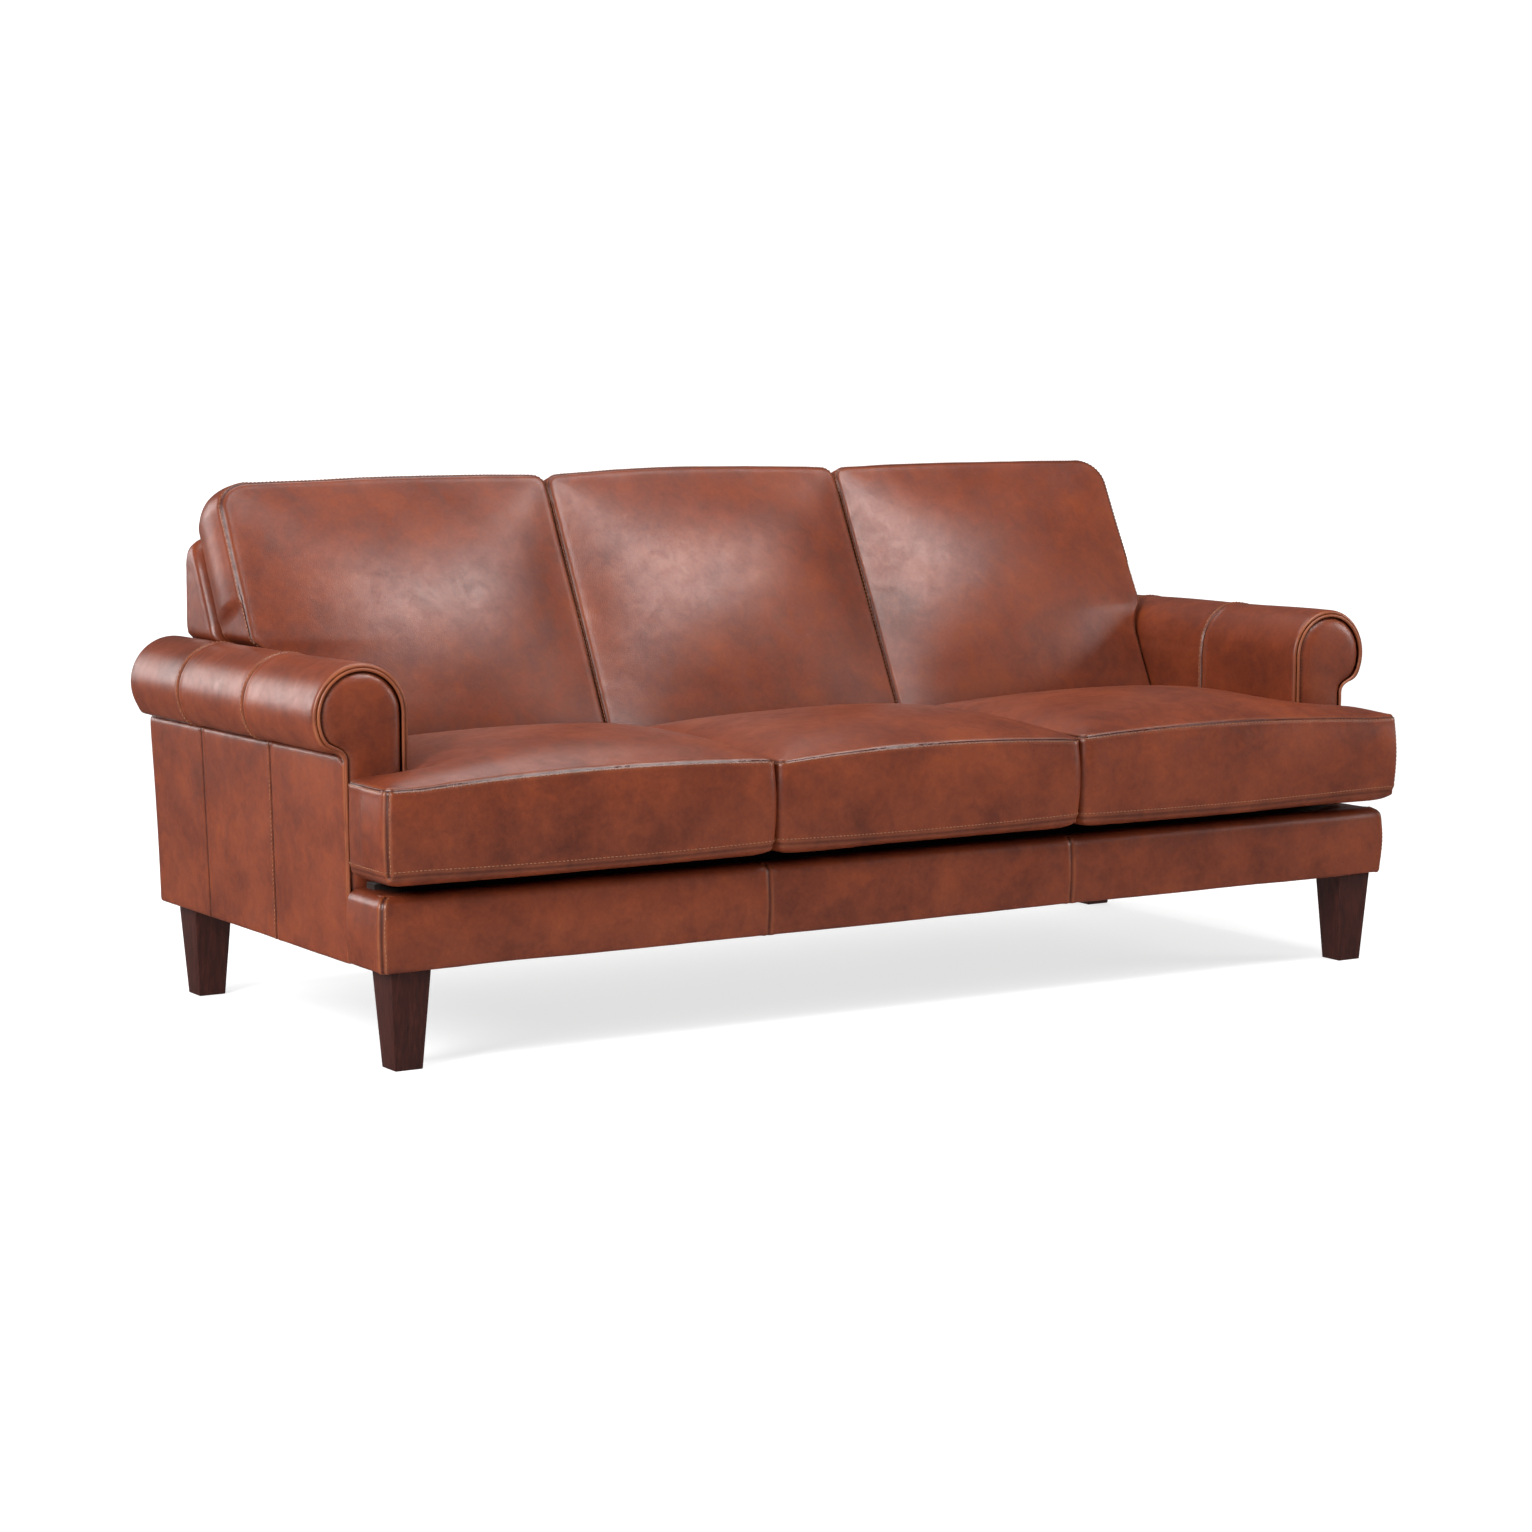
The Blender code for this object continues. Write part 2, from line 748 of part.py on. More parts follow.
def back_outline(kind):
    """A back cushion's face, in x and in length up the rake."""
    near_corner = ((0.0, 0.030), (0.009, 0.009), (0.030, 0.0))

    def middle(_, inset):
        side = SEAT_EDGE_X - CUSHION_GAP - inset
        low = inset
        high = BACK_LENGTH - inset
        points = [(-side + 0.015, low), (side - 0.015, low), (side, low + 0.015)]
        points += [(side - a, high - b) for a, b in near_corner]
        points += [(-side + a, high - b) for a, b in reversed(near_corner)]
        points.append((-side, low + 0.015))
        return points

    def outer(_, inset):
        near = SEAT_EDGE_X + CUSHION_GAP + inset
        far_low = BACK_OUTER_X - inset
        far_high = BACK_OUTER_HIGH_X - inset
        low = inset
        high = BACK_LENGTH - inset
        big_corner = ((0.0, 0.060), (0.018, 0.018), (0.060, 0.0))
        points = [(near + 0.015, low), (far_low - 0.015, low), (far_low, low + 0.015)]
        points += [(far_low, 0.440), (far_high, 0.470)]
        points += [(far_high - a, high - b) for a, b in big_corner]
        points += [(near + a, high - b) for a, b in reversed(near_corner)]
        points.append((near, low + 0.015))
        return points

    if kind == "middle":
        return middle
    if kind == "right":
        return outer
    return lambda height, inset: [(-a, b) for a, b in outer(height, inset)]


BACK_LEVELS = [
    (-0.0000, 0.050),
    (0.0040, 0.022),
    (0.0120, 0.005),
    (0.0200, 0.000),
    (BACK_THICK - 0.006, 0.000),
    (BACK_THICK + 0.004, 0.008),
    (BACK_THICK + 0.016, 0.028),
    (BACK_THICK + BACK_CROWN, 0.080),
]


def make_back_cushion(kind, empty):
    outline = back_outline(kind)
    cover = pillow(f"back_cushion_cover_{kind}", outline, BACK_LEVELS, "leather")
    hollow = pillow(
        f"back_cushion_hollow_{kind}", outline, shrunk(BACK_LEVELS, COVER_WALL), "leather"
    )
    cut(cover, hollow, "Room for the core")
    centre = {"left": -0.64, "middle": 0.0, "right": 0.64}[kind]
    slot = box(
        f"back_zip_{kind}",
        (centre - 0.22, -0.05, 0.050),
        (centre + 0.22, 0.05, 0.062),
        "leather",
    )
    cut(cover, slot, "Zip opening")
    core = pillow(
        f"back_cushion_core_{kind}",
        outline,
        shrunk(BACK_LEVELS, COVER_WALL + CORE_GAP),
        "foam",
    )
    for obj in (cover, core, hollow, slot):
        obj.parent = empty


def make_cushions():
    """Each cushion hangs from an empty on the line that it lifts along."""
    for kind, x in (("left", -0.64), ("middle", 0.0), ("right", 0.64)):
        lift = bpy.data.objects.new(f"seat_lift_{kind}", None)
        bpy.context.scene.collection.objects.link(lift)
        lift.location = (x, -0.20, SEAT_LEVELS[0][0])
        for_parts = bpy.data.objects.new(f"seat_zero_{kind}", None)
        bpy.context.scene.collection.objects.link(for_parts)
        for_parts.parent = lift
        for_parts.location = (-x, 0.20, -SEAT_LEVELS[0][0])
        make_seat_cushion(kind, for_parts)

        # Local x is along the sofa, local y up the rake and local z out of the cushion's face.
        rise = bpy.data.objects.new(f"back_lift_{kind}", None)
        bpy.context.scene.collection.objects.link(rise)
        foot_z = DECK_PAD_HIGH + 0.004
        gap_y = CUSHION_BACK_GAP / math.cos(RAKE)
        rise.location = (0, back_face_y(foot_z) - gap_y, foot_z)
        rise.rotation_euler = (math.pi / 2 - RAKE, 0, 0)
        make_back_cushion(kind, rise)


def main():
    clear_scene()
    places = (
        ("front_left", -LEG_X, LEG_FRONT_Y),
        ("front_right", LEG_X, LEG_FRONT_Y),
        ("rear_left", -LEG_X, LEG_REAR_Y),
        ("rear_right", LEG_X, LEG_REAR_Y),
    )
    for place, x, y in places:
        make_leg(place, x, y)
        make_leg_bolt(place, x, y)
        make_corner_block(place, x, y)
    make_base_frame()
    for number, x in enumerate(SPRING_PLACES, 1):
        make_spring(number, x)
    make_deck()
    make_dust_cover()
    make_rail_covers()
    make_arm("left", -1)
    make_arm("right", 1)
    make_back()
    make_cushions()
    bpy.context.view_layer.update()


main()
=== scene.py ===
"""Looks for a three-seat sofa in chestnut leather with rolled arms and stained wooden legs.

Metres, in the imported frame: +X along the sofa, -Y the front, +Z up. The frame holds the wooden
carcass and the motion. The upholstery, its seams and stitches, the legs and the lights are made here.
"""

import json
import math

import bmesh
import bpy
import numpy as np
from mathutils import Matrix, Vector
from mathutils.bvhtree import BVHTree
from mathutils.geometry import delaunay_2d_cdt
from mathutils.kdtree import KDTree


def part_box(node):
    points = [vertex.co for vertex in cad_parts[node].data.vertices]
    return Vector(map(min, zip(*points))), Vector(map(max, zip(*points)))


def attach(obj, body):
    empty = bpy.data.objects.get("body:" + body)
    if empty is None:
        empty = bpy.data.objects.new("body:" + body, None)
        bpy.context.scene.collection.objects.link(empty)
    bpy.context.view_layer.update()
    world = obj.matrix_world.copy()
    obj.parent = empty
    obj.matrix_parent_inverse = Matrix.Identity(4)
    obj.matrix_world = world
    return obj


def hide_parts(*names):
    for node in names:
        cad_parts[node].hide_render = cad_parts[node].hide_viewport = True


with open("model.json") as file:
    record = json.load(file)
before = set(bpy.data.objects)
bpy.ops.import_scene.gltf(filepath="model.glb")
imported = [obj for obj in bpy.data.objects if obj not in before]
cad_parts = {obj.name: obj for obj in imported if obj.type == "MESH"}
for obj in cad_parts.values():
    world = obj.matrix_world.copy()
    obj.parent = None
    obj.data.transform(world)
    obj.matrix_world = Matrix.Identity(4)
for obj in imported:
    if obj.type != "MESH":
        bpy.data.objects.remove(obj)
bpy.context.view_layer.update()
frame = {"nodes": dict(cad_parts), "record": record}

# ---------------------------------------------------------------- sizes, in metres

BASE_HALF = 1.070  # half the width at the foot of the arm panels
FRONT_Y = -0.4505  # the front rail's face
REAR_Y = 0.4875
RAIL_LOW = 0.170
RAIL_HIGH = 0.292
ARM_FRONT_Y = -0.317
ARM_INNER_X = 0.953
ROLL_X = 1.041  # the centre of the arm's roll
ROLL_Z = 0.583
ROLL_RADIUS = 0.088
ROLL_SLIMMER = 0.006  # how much thinner and lower the roll is at the rear
ARM_SEAMS_Y = (-0.030, 0.255)
SEAT_SPLIT_X = 0.3256  # where the middle cushions meet the outer ones
CUSHION_END_X = 0.9500  # where the outer cushions meet the arms
SEAT_FRONT_Y = -0.4875
SEAT_REAR = -0.006
SEAT_EAR = 1.081  # how far an outer seat cushion reaches in front of its arm
SEAT_EAR_BACK = -0.327
SEAT_LOW = 0.331
SEAT_HIGH = 0.480
RAKE = math.radians(27.34)  # how far the back leans from upright
BACK_FOOT_Z = 0.309
BACK_TOP = 0.836
BACK_TOP_Y = 0.4405
BACK_HALF = 1.013
BACK_LENGTH = 0.654  # a back cushion, measured up the rake
BACK_SEAM_DEPTH = 0.118  # from a back cushion's rear to its front seam
BACK_REAR_SEAM = 0.008
SKIN_STEP = 0.0105  # the usual size of one face of a skin
SAG_RAMP = 0.011  # how soon a cushion's underside drops away from its seam

SIDE = {"left": -1, "middle": 0, "right": 1}
BODY_FRAME = "sofa_frame"


# ---------------------------------------------------------------- leather, wood and cloth


def linear(hex_colour):
    """An sRGB hex value as the linear colour that shaders take."""
    parts = [int(hex_colour[i : i + 2], 16) / 255 for i in (1, 3, 5)]
    return tuple(p / 12.92 if p <= 0.04045 else ((p + 0.055) / 1.055) ** 2.4 for p in parts) + (1.0,)


def per_metre(size_mm):
    """A texture scale whose pattern repeats about once in this many millimetres."""
    return 1000.0 / size_mm


def node(tree, kind, settings=None, links=None):
    """Adds one shader node; settings are its values and links its incoming sockets."""
    made = tree.nodes.new(kind)
    for key, value in (settings or {}).items():
        if isinstance(key, str) and hasattr(made, key):
            setattr(made, key, value)
        else:
            made.inputs[key].default_value = value
    for key, source in (links or {}).items():
        tree.links.new(source, made.inputs[key])
    return made


def ramp(tree, source, stops):
    made = node(tree, "ShaderNodeValToRGB", links={0: source})
    band = made.color_ramp
    while len(band.elements) < len(stops):
        band.elements.new(0.5)
    for element, (place, colour) in zip(band.elements, stops):
        element.position = place
        element.color = linear(colour) if isinstance(colour, str) else (colour, colour, colour, 1)
    return made.outputs[0]


def new_material(name):
    material = bpy.data.materials.new(name)
    material.use_nodes = True
    tree = material.node_tree
    tree.nodes.clear()
    out = tree.nodes.new("ShaderNodeOutputMaterial")
    shader = tree.nodes.new("ShaderNodeBsdfPrincipled")
    tree.links.new(shader.outputs[0], out.inputs[0])
    place = tree.nodes.new("ShaderNodeTexCoord").outputs["Object"]
    return material, tree, shader, place


def noise(tree, place, size_mm, **settings):
    """Cloudy noise whose lumps are about this many millimetres apart."""
    values = {"Scale": per_metre(size_mm), **settings}
    return node(tree, "ShaderNodeTexNoise", values, {"Vector": place}).outputs[0]


def spread(tree, source, low, high, at_low, at_high):
    """Maps a value that runs from low to high onto at_low to at_high."""
    values = {"From Min": low, "From Max": high, "To Min": at_low, "To Max": at_high}
    return node(tree, "ShaderNodeMapRange", values, {"Value": source}).outputs[0]


def bump(tree, height, strength, depth, under=None):
    """A surface normal raised by height, in metres, on top of another one."""
    links = {"Height": height, **({"Normal": under} if under else {})}
    return node(
        tree, "ShaderNodeBump", {"Strength": strength, "Distance": depth}, links
    ).outputs[0]


def mixed(tree, share, first, second):
    return node(
        tree, "ShaderNodeMix", {"Factor": share}, {"A": first, "B": second}
    ).outputs[0]


def tinted(tree, share, under, colour):
    """Lays one flat colour over another by a share that varies."""
    values = {"data_type": "RGBA", 7: linear(colour)}
    return node(tree, "ShaderNodeMix", values, {"Factor": share, 6: under}).outputs[2]


LEATHER_TONES = [(0.28, "#4a1e10"), (0.42, "#602917"), (0.54, "#72331c"), (0.72, "#854122")]
LEATHER_RUBBED = "#a8653f"
# A dark tone for the seam lines, also used as painted shade at the foot of the back cushions.
LEATHER_SEAM_DARK_AND_SHADE = "#2a0e08"


def top_grain_leather():
    """Top-grain cowhide, drum dyed chestnut and finished by hand with a darker wax: cloudy light
    and dark patches, a soft gloss, edges rubbed back to orange and seam lines left dark. The same
    dark colour is also painted as shade at the foot of the back cushions."""
    material, tree, shader, place = new_material("top_grain_leather_chestnut")
    clouds = noise(tree, place, 150, Detail=3.0, Roughness=0.55, Distortion=0.4)
    mottle = noise(tree, place, 34, Detail=5.0, Roughness=0.62, Distortion=0.7)
    flecks = noise(tree, place, 7, Detail=4.0, Roughness=0.7)
    blend = mixed(tree, 0.24, mixed(tree, 0.42, clouds, mottle), flecks)
    hide = ramp(tree, blend, LEATHER_TONES)
    wear = node(tree, "ShaderNodeAttribute", {"attribute_name": "wear"}).outputs["Fac"]
    seam_dark_and_shade = node(tree, "ShaderNodeAttribute", {"attribute_name": "seam_dark_and_shade"}).outputs["Fac"]
    rubbed = tinted(tree, wear, hide, LEATHER_RUBBED)
    # Darkens the seam lines, and paints shade where the back cushions' foot meets the seat.
    darkened_and_shaded = tinted(tree, seam_dark_and_shade, rubbed, LEATHER_SEAM_DARK_AND_SHADE)
    tree.links.new(darkened_and_shaded, shader.inputs["Base Color"])
    tree.links.new(spread(tree, mottle, 0.35, 0.65, 0.40, 0.32), shader.inputs["Roughness"])
    shader.inputs["IOR"].default_value = 1.5
    shader.inputs["Specular IOR Level"].default_value = 0.44
    # Real grain cells are about 1.2 mm across; they are drawn at 3.5 mm so that they show.
    cells = node(
        tree,
        "ShaderNodeTexVoronoi",
        {"feature": "DISTANCE_TO_EDGE", "Scale": per_metre(3.5)},
        {"Vector": place},
    ).outputs["Distance"]
    fine = bump(tree, spread(tree, cells, 0.0, 0.18, 0.0, 1.0), 0.14, 0.0005)
    tree.links.new(bump(tree, mottle, 0.05, 0.0022, fine), shader.inputs["Normal"])
    return material


THREAD_TAN = "#94603f"
THREAD_DARK = "#4a2014"


def bonded_thread():
    """Bonded polyester upholstery thread, about 0.9 mm thick: matt, slightly ribbed."""
    material, tree, shader, place = new_material("bonded_thread_tan")
    twist = node(
        tree, "ShaderNodeTexWave", {"Scale": per_metre(6), "Distortion": 2.0}, {"Vector": place}
    ).outputs[0]
    tone = ramp(tree, twist, [(0.0, THREAD_DARK), (0.35, THREAD_TAN), (1.0, THREAD_TAN)])
    tree.links.new(tone, shader.inputs["Base Color"])
    shader.inputs["Roughness"].default_value = 0.65
    return material


def stained_beech():
    """Beech under a dark espresso stain and a satin lacquer: fine upright grain, soft gloss."""
    material, tree, shader, place = new_material("stained_beech_espresso")
    stretched = node(
        tree, "ShaderNodeMapping", {"Scale": (1.0, 1.0, 0.07)}, {"Vector": place}
    ).outputs[0]
    grain = noise(tree, stretched, 5, Detail=6.0, Roughness=0.65, Distortion=0.3)
    pores = noise(tree, stretched, 1.6, Detail=3.0)
    both = mixed(tree, 0.35, grain, pores)
    tone = ramp(tree, both, [(0.32, "#250d09"), (0.5, "#381610"), (0.68, "#4c2218")])
    tree.links.new(tone, shader.inputs["Base Color"])
    tree.links.new(spread(tree, both, 0.3, 0.7, 0.42, 0.30), shader.inputs["Roughness"])
    shader.inputs["Coat Weight"].default_value = 0.08
    shader.inputs["Coat Roughness"].default_value = 0.22
    tree.links.new(bump(tree, both, 0.12, 0.0004), shader.inputs["Normal"])
    return material


def raw_timber(name, dark, light, grain_mm, stretch):
    """Unfinished frame timber or plywood: pale, matt, with the grain along the board."""
    material, tree, shader, place = new_material(name)
    along = node(tree, "ShaderNodeMapping", {"Scale": stretch}, {"Vector": place}).outputs[0]
    grain = noise(tree, along, grain_mm, Detail=5.0, Distortion=0.4)
    tree.links.new(ramp(tree, grain, [(0.35, dark), (0.65, light)]), shader.inputs["Base Color"])
    shader.inputs["Roughness"].default_value = 0.72
    tree.links.new(bump(tree, grain, 0.2, 0.0006), shader.inputs["Normal"])
    return material


def woven_cloth(name, dark, light, thread_mm):
    """Plain woven platform cloth: two crossing thread directions, matt with a faint fuzz."""
    material, tree, shader, place = new_material(name)

    def threads(direction):
        """One sine wave for each thread; a wave repeats every 2 pi texture units."""
        values = {"bands_direction": direction, "Scale": per_metre(thread_mm) / 6.28, "Distortion": 0.6}
        return node(tree, "ShaderNodeTexWave", values, {"Vector": place}).outputs[0]

    warp = threads("X")
    weft = threads("Y")
    weave = node(
        tree, "ShaderNodeMath", {"operation": "MAXIMUM"}, {0: warp, 1: weft}
    ).outputs[0]
    tree.links.new(ramp(tree, weave, [(0.2, dark), (0.8, light)]), shader.inputs["Base Color"])
    shader.inputs["Roughness"].default_value = 0.9
    shader.inputs["Sheen Weight"].default_value = 0.2
    tree.links.new(bump(tree, weave, 0.4, 0.0006), shader.inputs["Normal"])
    return material


def foam():
    """Cream polyurethane foam: open cells about 1.5 mm across, dead matt."""
    material, tree, shader, place = new_material("polyurethane_foam_cream")
    cells = node(
        tree, "ShaderNodeTexVoronoi", {"Scale": per_metre(3)}, {"Vector": place}
    ).outputs["Distance"]
    tree.links.new(
        ramp(tree, cells, [(0.1, "#b9a56e"), (0.6, "#e8dcae")]), shader.inputs["Base Color"]
    )
    shader.inputs["Roughness"].default_value = 0.95
    return material


def spring_steel():
    """Zinc-plated spring wire: grey metal with a slightly dull drawn surface."""
    material, tree, shader, place = new_material("spring_steel_zinc")
    drawn = noise(tree, place, 4)
    tree.links.new(
        ramp(tree, drawn, [(0.3, "#85878a"), (0.7, "#b4b6b8")]), shader.inputs["Base Color"]
    )
    shader.inputs["Metallic"].default_value = 1.0
    shader.inputs["Roughness"].default_value = 0.38
    return material


LEATHER = top_grain_leather()
THREAD = bonded_thread()
BEECH = stained_beech()
CARCASS = {
    "leather": LEATHER,
    "stained_wood": BEECH,
    "frame_wood": raw_timber("sawn_poplar", "#9c7446", "#c9a571", 9, (0.06, 1.0, 1.0)),
    "plywood": raw_timber("birch_plywood", "#b08a58", "#d5b684", 12, (1.0, 0.08, 0.3)),
    "steel": spring_steel(),
    "deck_cloth": woven_cloth("platform_cloth_brown", "#1c100b", "#332018", 2.4),
    "black_cloth": woven_cloth("dust_cloth_black", "#0f0e0d", "#232120", 2.0),
    "foam": foam(),
}


# ---------------------------------------------------------------- working with skins


def smooth_noise(points, size, seed):
    """Soft noise from -1 to 1 whose lumps are about this many metres apart."""
    count = 32
    table = np.random.RandomState(seed).rand(count, count, count) * 2 - 1
    spot = np.asarray(points) / size + 100.37
    cell = np.floor(spot).astype(int)
    part = spot - cell
    part = part * part * (3 - 2 * part)
    total = np.zeros(len(spot))
    for dx in (0, 1):
        for dy in (0, 1):
            for dz in (0, 1):
                weight = (
                    (part[:, 0] if dx else 1 - part[:, 0])
                    * (part[:, 1] if dy else 1 - part[:, 1])
                    * (part[:, 2] if dz else 1 - part[:, 2])
                )
                total += weight * table[
                    (cell[:, 0] + dx) % count,
                    (cell[:, 1] + dy) % count,
                    (cell[:, 2] + dz) % count,
                ]
    return total


def make_mesh(name, points, faces, material):
    mesh = bpy.data.meshes.new(name)
    mesh.from_pydata([tuple(p) for p in points], [], [tuple(f) for f in faces])
    mesh.validate()
    work = bmesh.new()
    work.from_mesh(mesh)
    bmesh.ops.recalc_face_normals(work, faces=work.faces)
    work.to_mesh(mesh)
    work.free()
    mesh.shade_smooth()
    mesh.materials.append(material)
    obj = bpy.data.objects.new(name, mesh)
    bpy.context.scene.collection.objects.link(obj)
    return obj


def points_of(mesh):
    flat = np.empty(len(mesh.vertices) * 3)
    mesh.vertices.foreach_get("co", flat)
    return flat.reshape(-1, 3)


def normals_of(mesh):
    flat = np.empty(len(mesh.vertices) * 3, np.float32)
    mesh.vertices.foreach_get("normal", flat)
    return flat.reshape(-1, 3).astype(float)


def put_points(mesh, points):
    mesh.vertices.foreach_set("co", np.asarray(points, float).ravel())
    mesh.update()


def raise_layer(mesh, name, values):
    """Lifts a layer that has one value a point to at least these values."""
    layer = mesh.attributes[name]
    held = np.empty(len(mesh.vertices), np.float32)
    layer.data.foreach_get("value", held)
    layer.data.foreach_set("value", np.maximum(held, values).astype(np.float32))


def strip_faces(rows, width):
    """The faces of a skin whose points come row by row."""
    return [
        (a, a + 1, a + width + 1, a + width)
        for r in range(rows - 1)
        for a in range(r * width, r * width + width - 1)
    ]


def bake(obj):
    """Applies the object's modifiers, so that only the finished mesh is left."""
    graph = bpy.context.evaluated_depsgraph_get()
    mesh = bpy.data.meshes.new_from_object(obj.evaluated_get(graph))
    obj.modifiers.clear()
    old = obj.data
    obj.data = mesh
    bpy.data.meshes.remove(old)
    mesh.shade_smooth()


def subdivide_once(obj):
    step = obj.modifiers.new("Even out", "SUBSURF")
    step.levels = step.render_levels = 1
    bpy.context.view_layer.update()
    bake(obj)


def along_path(points, spacing, closed=False):
    """The path again, with points this far apart, and how far along each one is."""
    path = [Vector(p) for p in points]
    if closed:
        path.append(path[0])
    lengths = [0.0]
    for a, b in zip(path, path[1:]):
        lengths.append(lengths[-1] + (b - a).length)
    total = lengths[-1]
    count = max(2, round(total / spacing))
    spots = []
    k = 0
    for i in range(count if closed else count + 1):
        want = total * i / count
        while k < len(lengths) - 2 and lengths[k + 1] < want:
            k += 1
        share = (want - lengths[k]) / max(lengths[k + 1] - lengths[k], 1e-9)
        spots.append(path[k].lerp(path[k + 1], share))
    return spots, total / count


class Seam:
    """One sewn line: where it runs and how it pulls the leather in."""

    def __init__(self, points, groove=0.0018, ridge=0.0011, pucker=0.0009, reach=0.028,
                 closed=False, wear=0.5, seam_dark_and_shade=0.85):
        self.spots, self.spacing = along_path(points, 0.003, closed)
        self.groove = groove
        self.ridge = ridge
        self.pucker = pucker
        self.reach = reach
        self.wear = wear
        self.seam_dark_and_shade = seam_dark_and_shade


def dress(obj, seams, seed, sway=0.0014, fine=0.00014):
    """Sews the seams into a skin: a sunk line, a raised edge on each side, fine puckers that die
    away from it, and the slow rise and fall of leather over padding."""
    mesh = obj.data
    points = points_of(mesh)
    normals = normals_of(mesh)
    count = len(points)
    shift = sway * smooth_noise(points, 0.19, seed) + 0.2 * sway * smooth_noise(points, 0.07, seed + 1)
    shift += fine * smooth_noise(points, 0.022, seed + 2)
    wear = np.zeros(count)
    seam_dark_and_shade = np.zeros(count)
    for number, seam in enumerate(seams):
        tree = KDTree(len(seam.spots))
        for i, spot in enumerate(seam.spots):
            tree.insert(spot, i)
        tree.balance()
        path = np.array(seam.spots)
        reach = 4 * seam.reach
        near = np.all((points > path.min(0) - reach) & (points < path.max(0) + reach), axis=1)
        away = np.full(count, 1.0)
        along = np.zeros(count)
        for k in np.nonzero(near)[0]:
            _, spot, gap = tree.find(points[k])
            away[k] = gap
            along[k] = spot * seam.spacing
        waves = smooth_noise(
            np.stack([along, away * 0.35, np.full(count, 0.31 * number)], 1), 0.017, seed + 9
        )
        broad = smooth_noise(
            np.stack([along, away * 0.2, np.full(count, 0.7 * number)], 1), 0.060, seed + 5
        )
        shift -= seam.groove * np.exp(-((away / 0.0032) ** 2))
        shift += seam.ridge * np.exp(-(((away - 0.0075) / 0.0045) ** 2))
        fade = np.exp(-away / seam.reach) * (1 - np.exp(-((away / 0.006) ** 2)))
        shift += seam.pucker * fade * (waves * (0.55 + 0.45 * broad) + 0.5 * broad)
        rub = np.exp(-(((away - 0.0052) / 0.0022) ** 2)) * (0.60 + 0.40 * waves)
        wear = np.maximum(wear, seam.wear * np.clip(rub, 0, 1))
        seam_dark_and_shade = np.maximum(seam_dark_and_shade, seam.seam_dark_and_shade * np.exp(-((away / 0.0032) ** 2)))
    put_points(mesh, points + normals * shift[:, None])
    for name, values in (("wear", wear), ("seam_dark_and_shade", seam_dark_and_shade)):
        layer = mesh.attributes.new(name, "FLOAT", "POINT")
        layer.data.foreach_set("value", values.astype(np.float32))
    mesh.update()


def stitches(name, rows, skin, pitch=0.0078, length=0.0050, radius=0.00085, lift=0.0004):
    """Rows of separate stitches that lie on a skin, as one piece that goes with it."""
    mesh = skin.data
    faces = [tuple(p.vertices) for p in mesh.polygons]
    surface = BVHTree.FromPolygons([v.co.copy() for v in mesh.vertices], faces)
    points = []
    quads = []
    for row, closed in rows:
        spots, _ = along_path(row, pitch, closed)
        last = len(spots) if closed else len(spots) - 1
        for i in range(last):
            a = spots[i]
            b = spots[(i + 1) % len(spots)]
            middle = (a + b) / 2
            hit, normal, _, away = surface.find_nearest(middle)
            if hit is None or away > 0.02:
                continue
            run = (b - a) - normal * (b - a).dot(normal)
            if run.length < 1e-6:
                continue
            run.normalize()
            side = normal.cross(run)
            centre = hit + normal * lift
            base = len(points)
            for t, wide in ((-0.5, 0.45), (-0.3, 1.0), (0.3, 1.0), (0.5, 0.45)):
                sink = normal * (-radius * 0.9 if abs(t) > 0.4 else 0)
                for k in range(5):
                    turn = 2 * math.pi * k / 5
                    points.append(
                        centre
                        + run * (t * length)
                        + sink
                        + side * (math.cos(turn) * radius * wide)
                        + normal * (math.sin(turn) * radius * wide)
                    )
            for ring in range(3):
                for k in range(5):
                    low = base + ring * 5
                    quads.append((low + k, low + (k + 1) % 5, low + 5 + (k + 1) % 5, low + 5 + k))
            quads.append(tuple(base + k for k in range(5)))
            quads.append(tuple(base + 15 + k for k in range(5)))
    obj = make_mesh(name, points, quads, THREAD)
    obj.parent = skin
    return obj


def piping(name, path, radius, skin, closed=False):
    """A leather-covered cord along a path."""
    spots, _ = along_path(path, 0.006, closed)
    curve = bpy.data.curves.new(name, "CURVE")
    curve.dimensions = "3D"
    curve.bevel_depth = radius
    curve.bevel_resolution = 3
    curve.use_fill_caps = True
    line = curve.splines.new("POLY")
    line.points.add(len(spots) - 1)
    line.use_cyclic_u = closed
    for point, spot in zip(line.points, spots):
        point.co = (*spot, 1.0)
    obj = bpy.data.objects.new(name, curve)
    bpy.context.scene.collection.objects.link(obj)
    bpy.context.view_layer.update()
    graph = bpy.context.evaluated_depsgraph_get()
    mesh = bpy.data.meshes.new_from_object(obj.evaluated_get(graph))
    bpy.data.objects.remove(obj, do_unlink=True)
    obj = bpy.data.objects.new(name, mesh)
    bpy.context.scene.collection.objects.link(obj)
    mesh.materials.clear()
    mesh.materials.append(LEATHER)
    mesh.shade_smooth()
    layer = mesh.attributes.new("wear", "FLOAT", "POINT")
    rub = 0.28 + 0.25 * smooth_noise(points_of(mesh), 0.05, 3)
    layer.data.foreach_set("value", np.clip(rub, 0, 1).astype(np.float32))
    obj.parent = skin
    return obj


# ---------------------------------------------------------------- boxed cushions


def lines_between(low, high, seams, step):
    """Grid lines from low to high: close together beside each seam and even elsewhere."""
    spots = {low, high}
    for seam in seams:
        for close in (0.0, 0.004, 0.009, 0.016):
            for spot in (seam - close, seam + close):
                if low <= spot <= high:
                    spots.add(round(spot, 5))
    spots = sorted(spots)
    lines = [spots[0]]
    for a, b in zip(spots, spots[1:]):
        parts = max(1, math.ceil((b - a) / step))
        lines += [a + (b - a) * k / parts for k in range(1, parts + 1)]
    return np.array(lines)


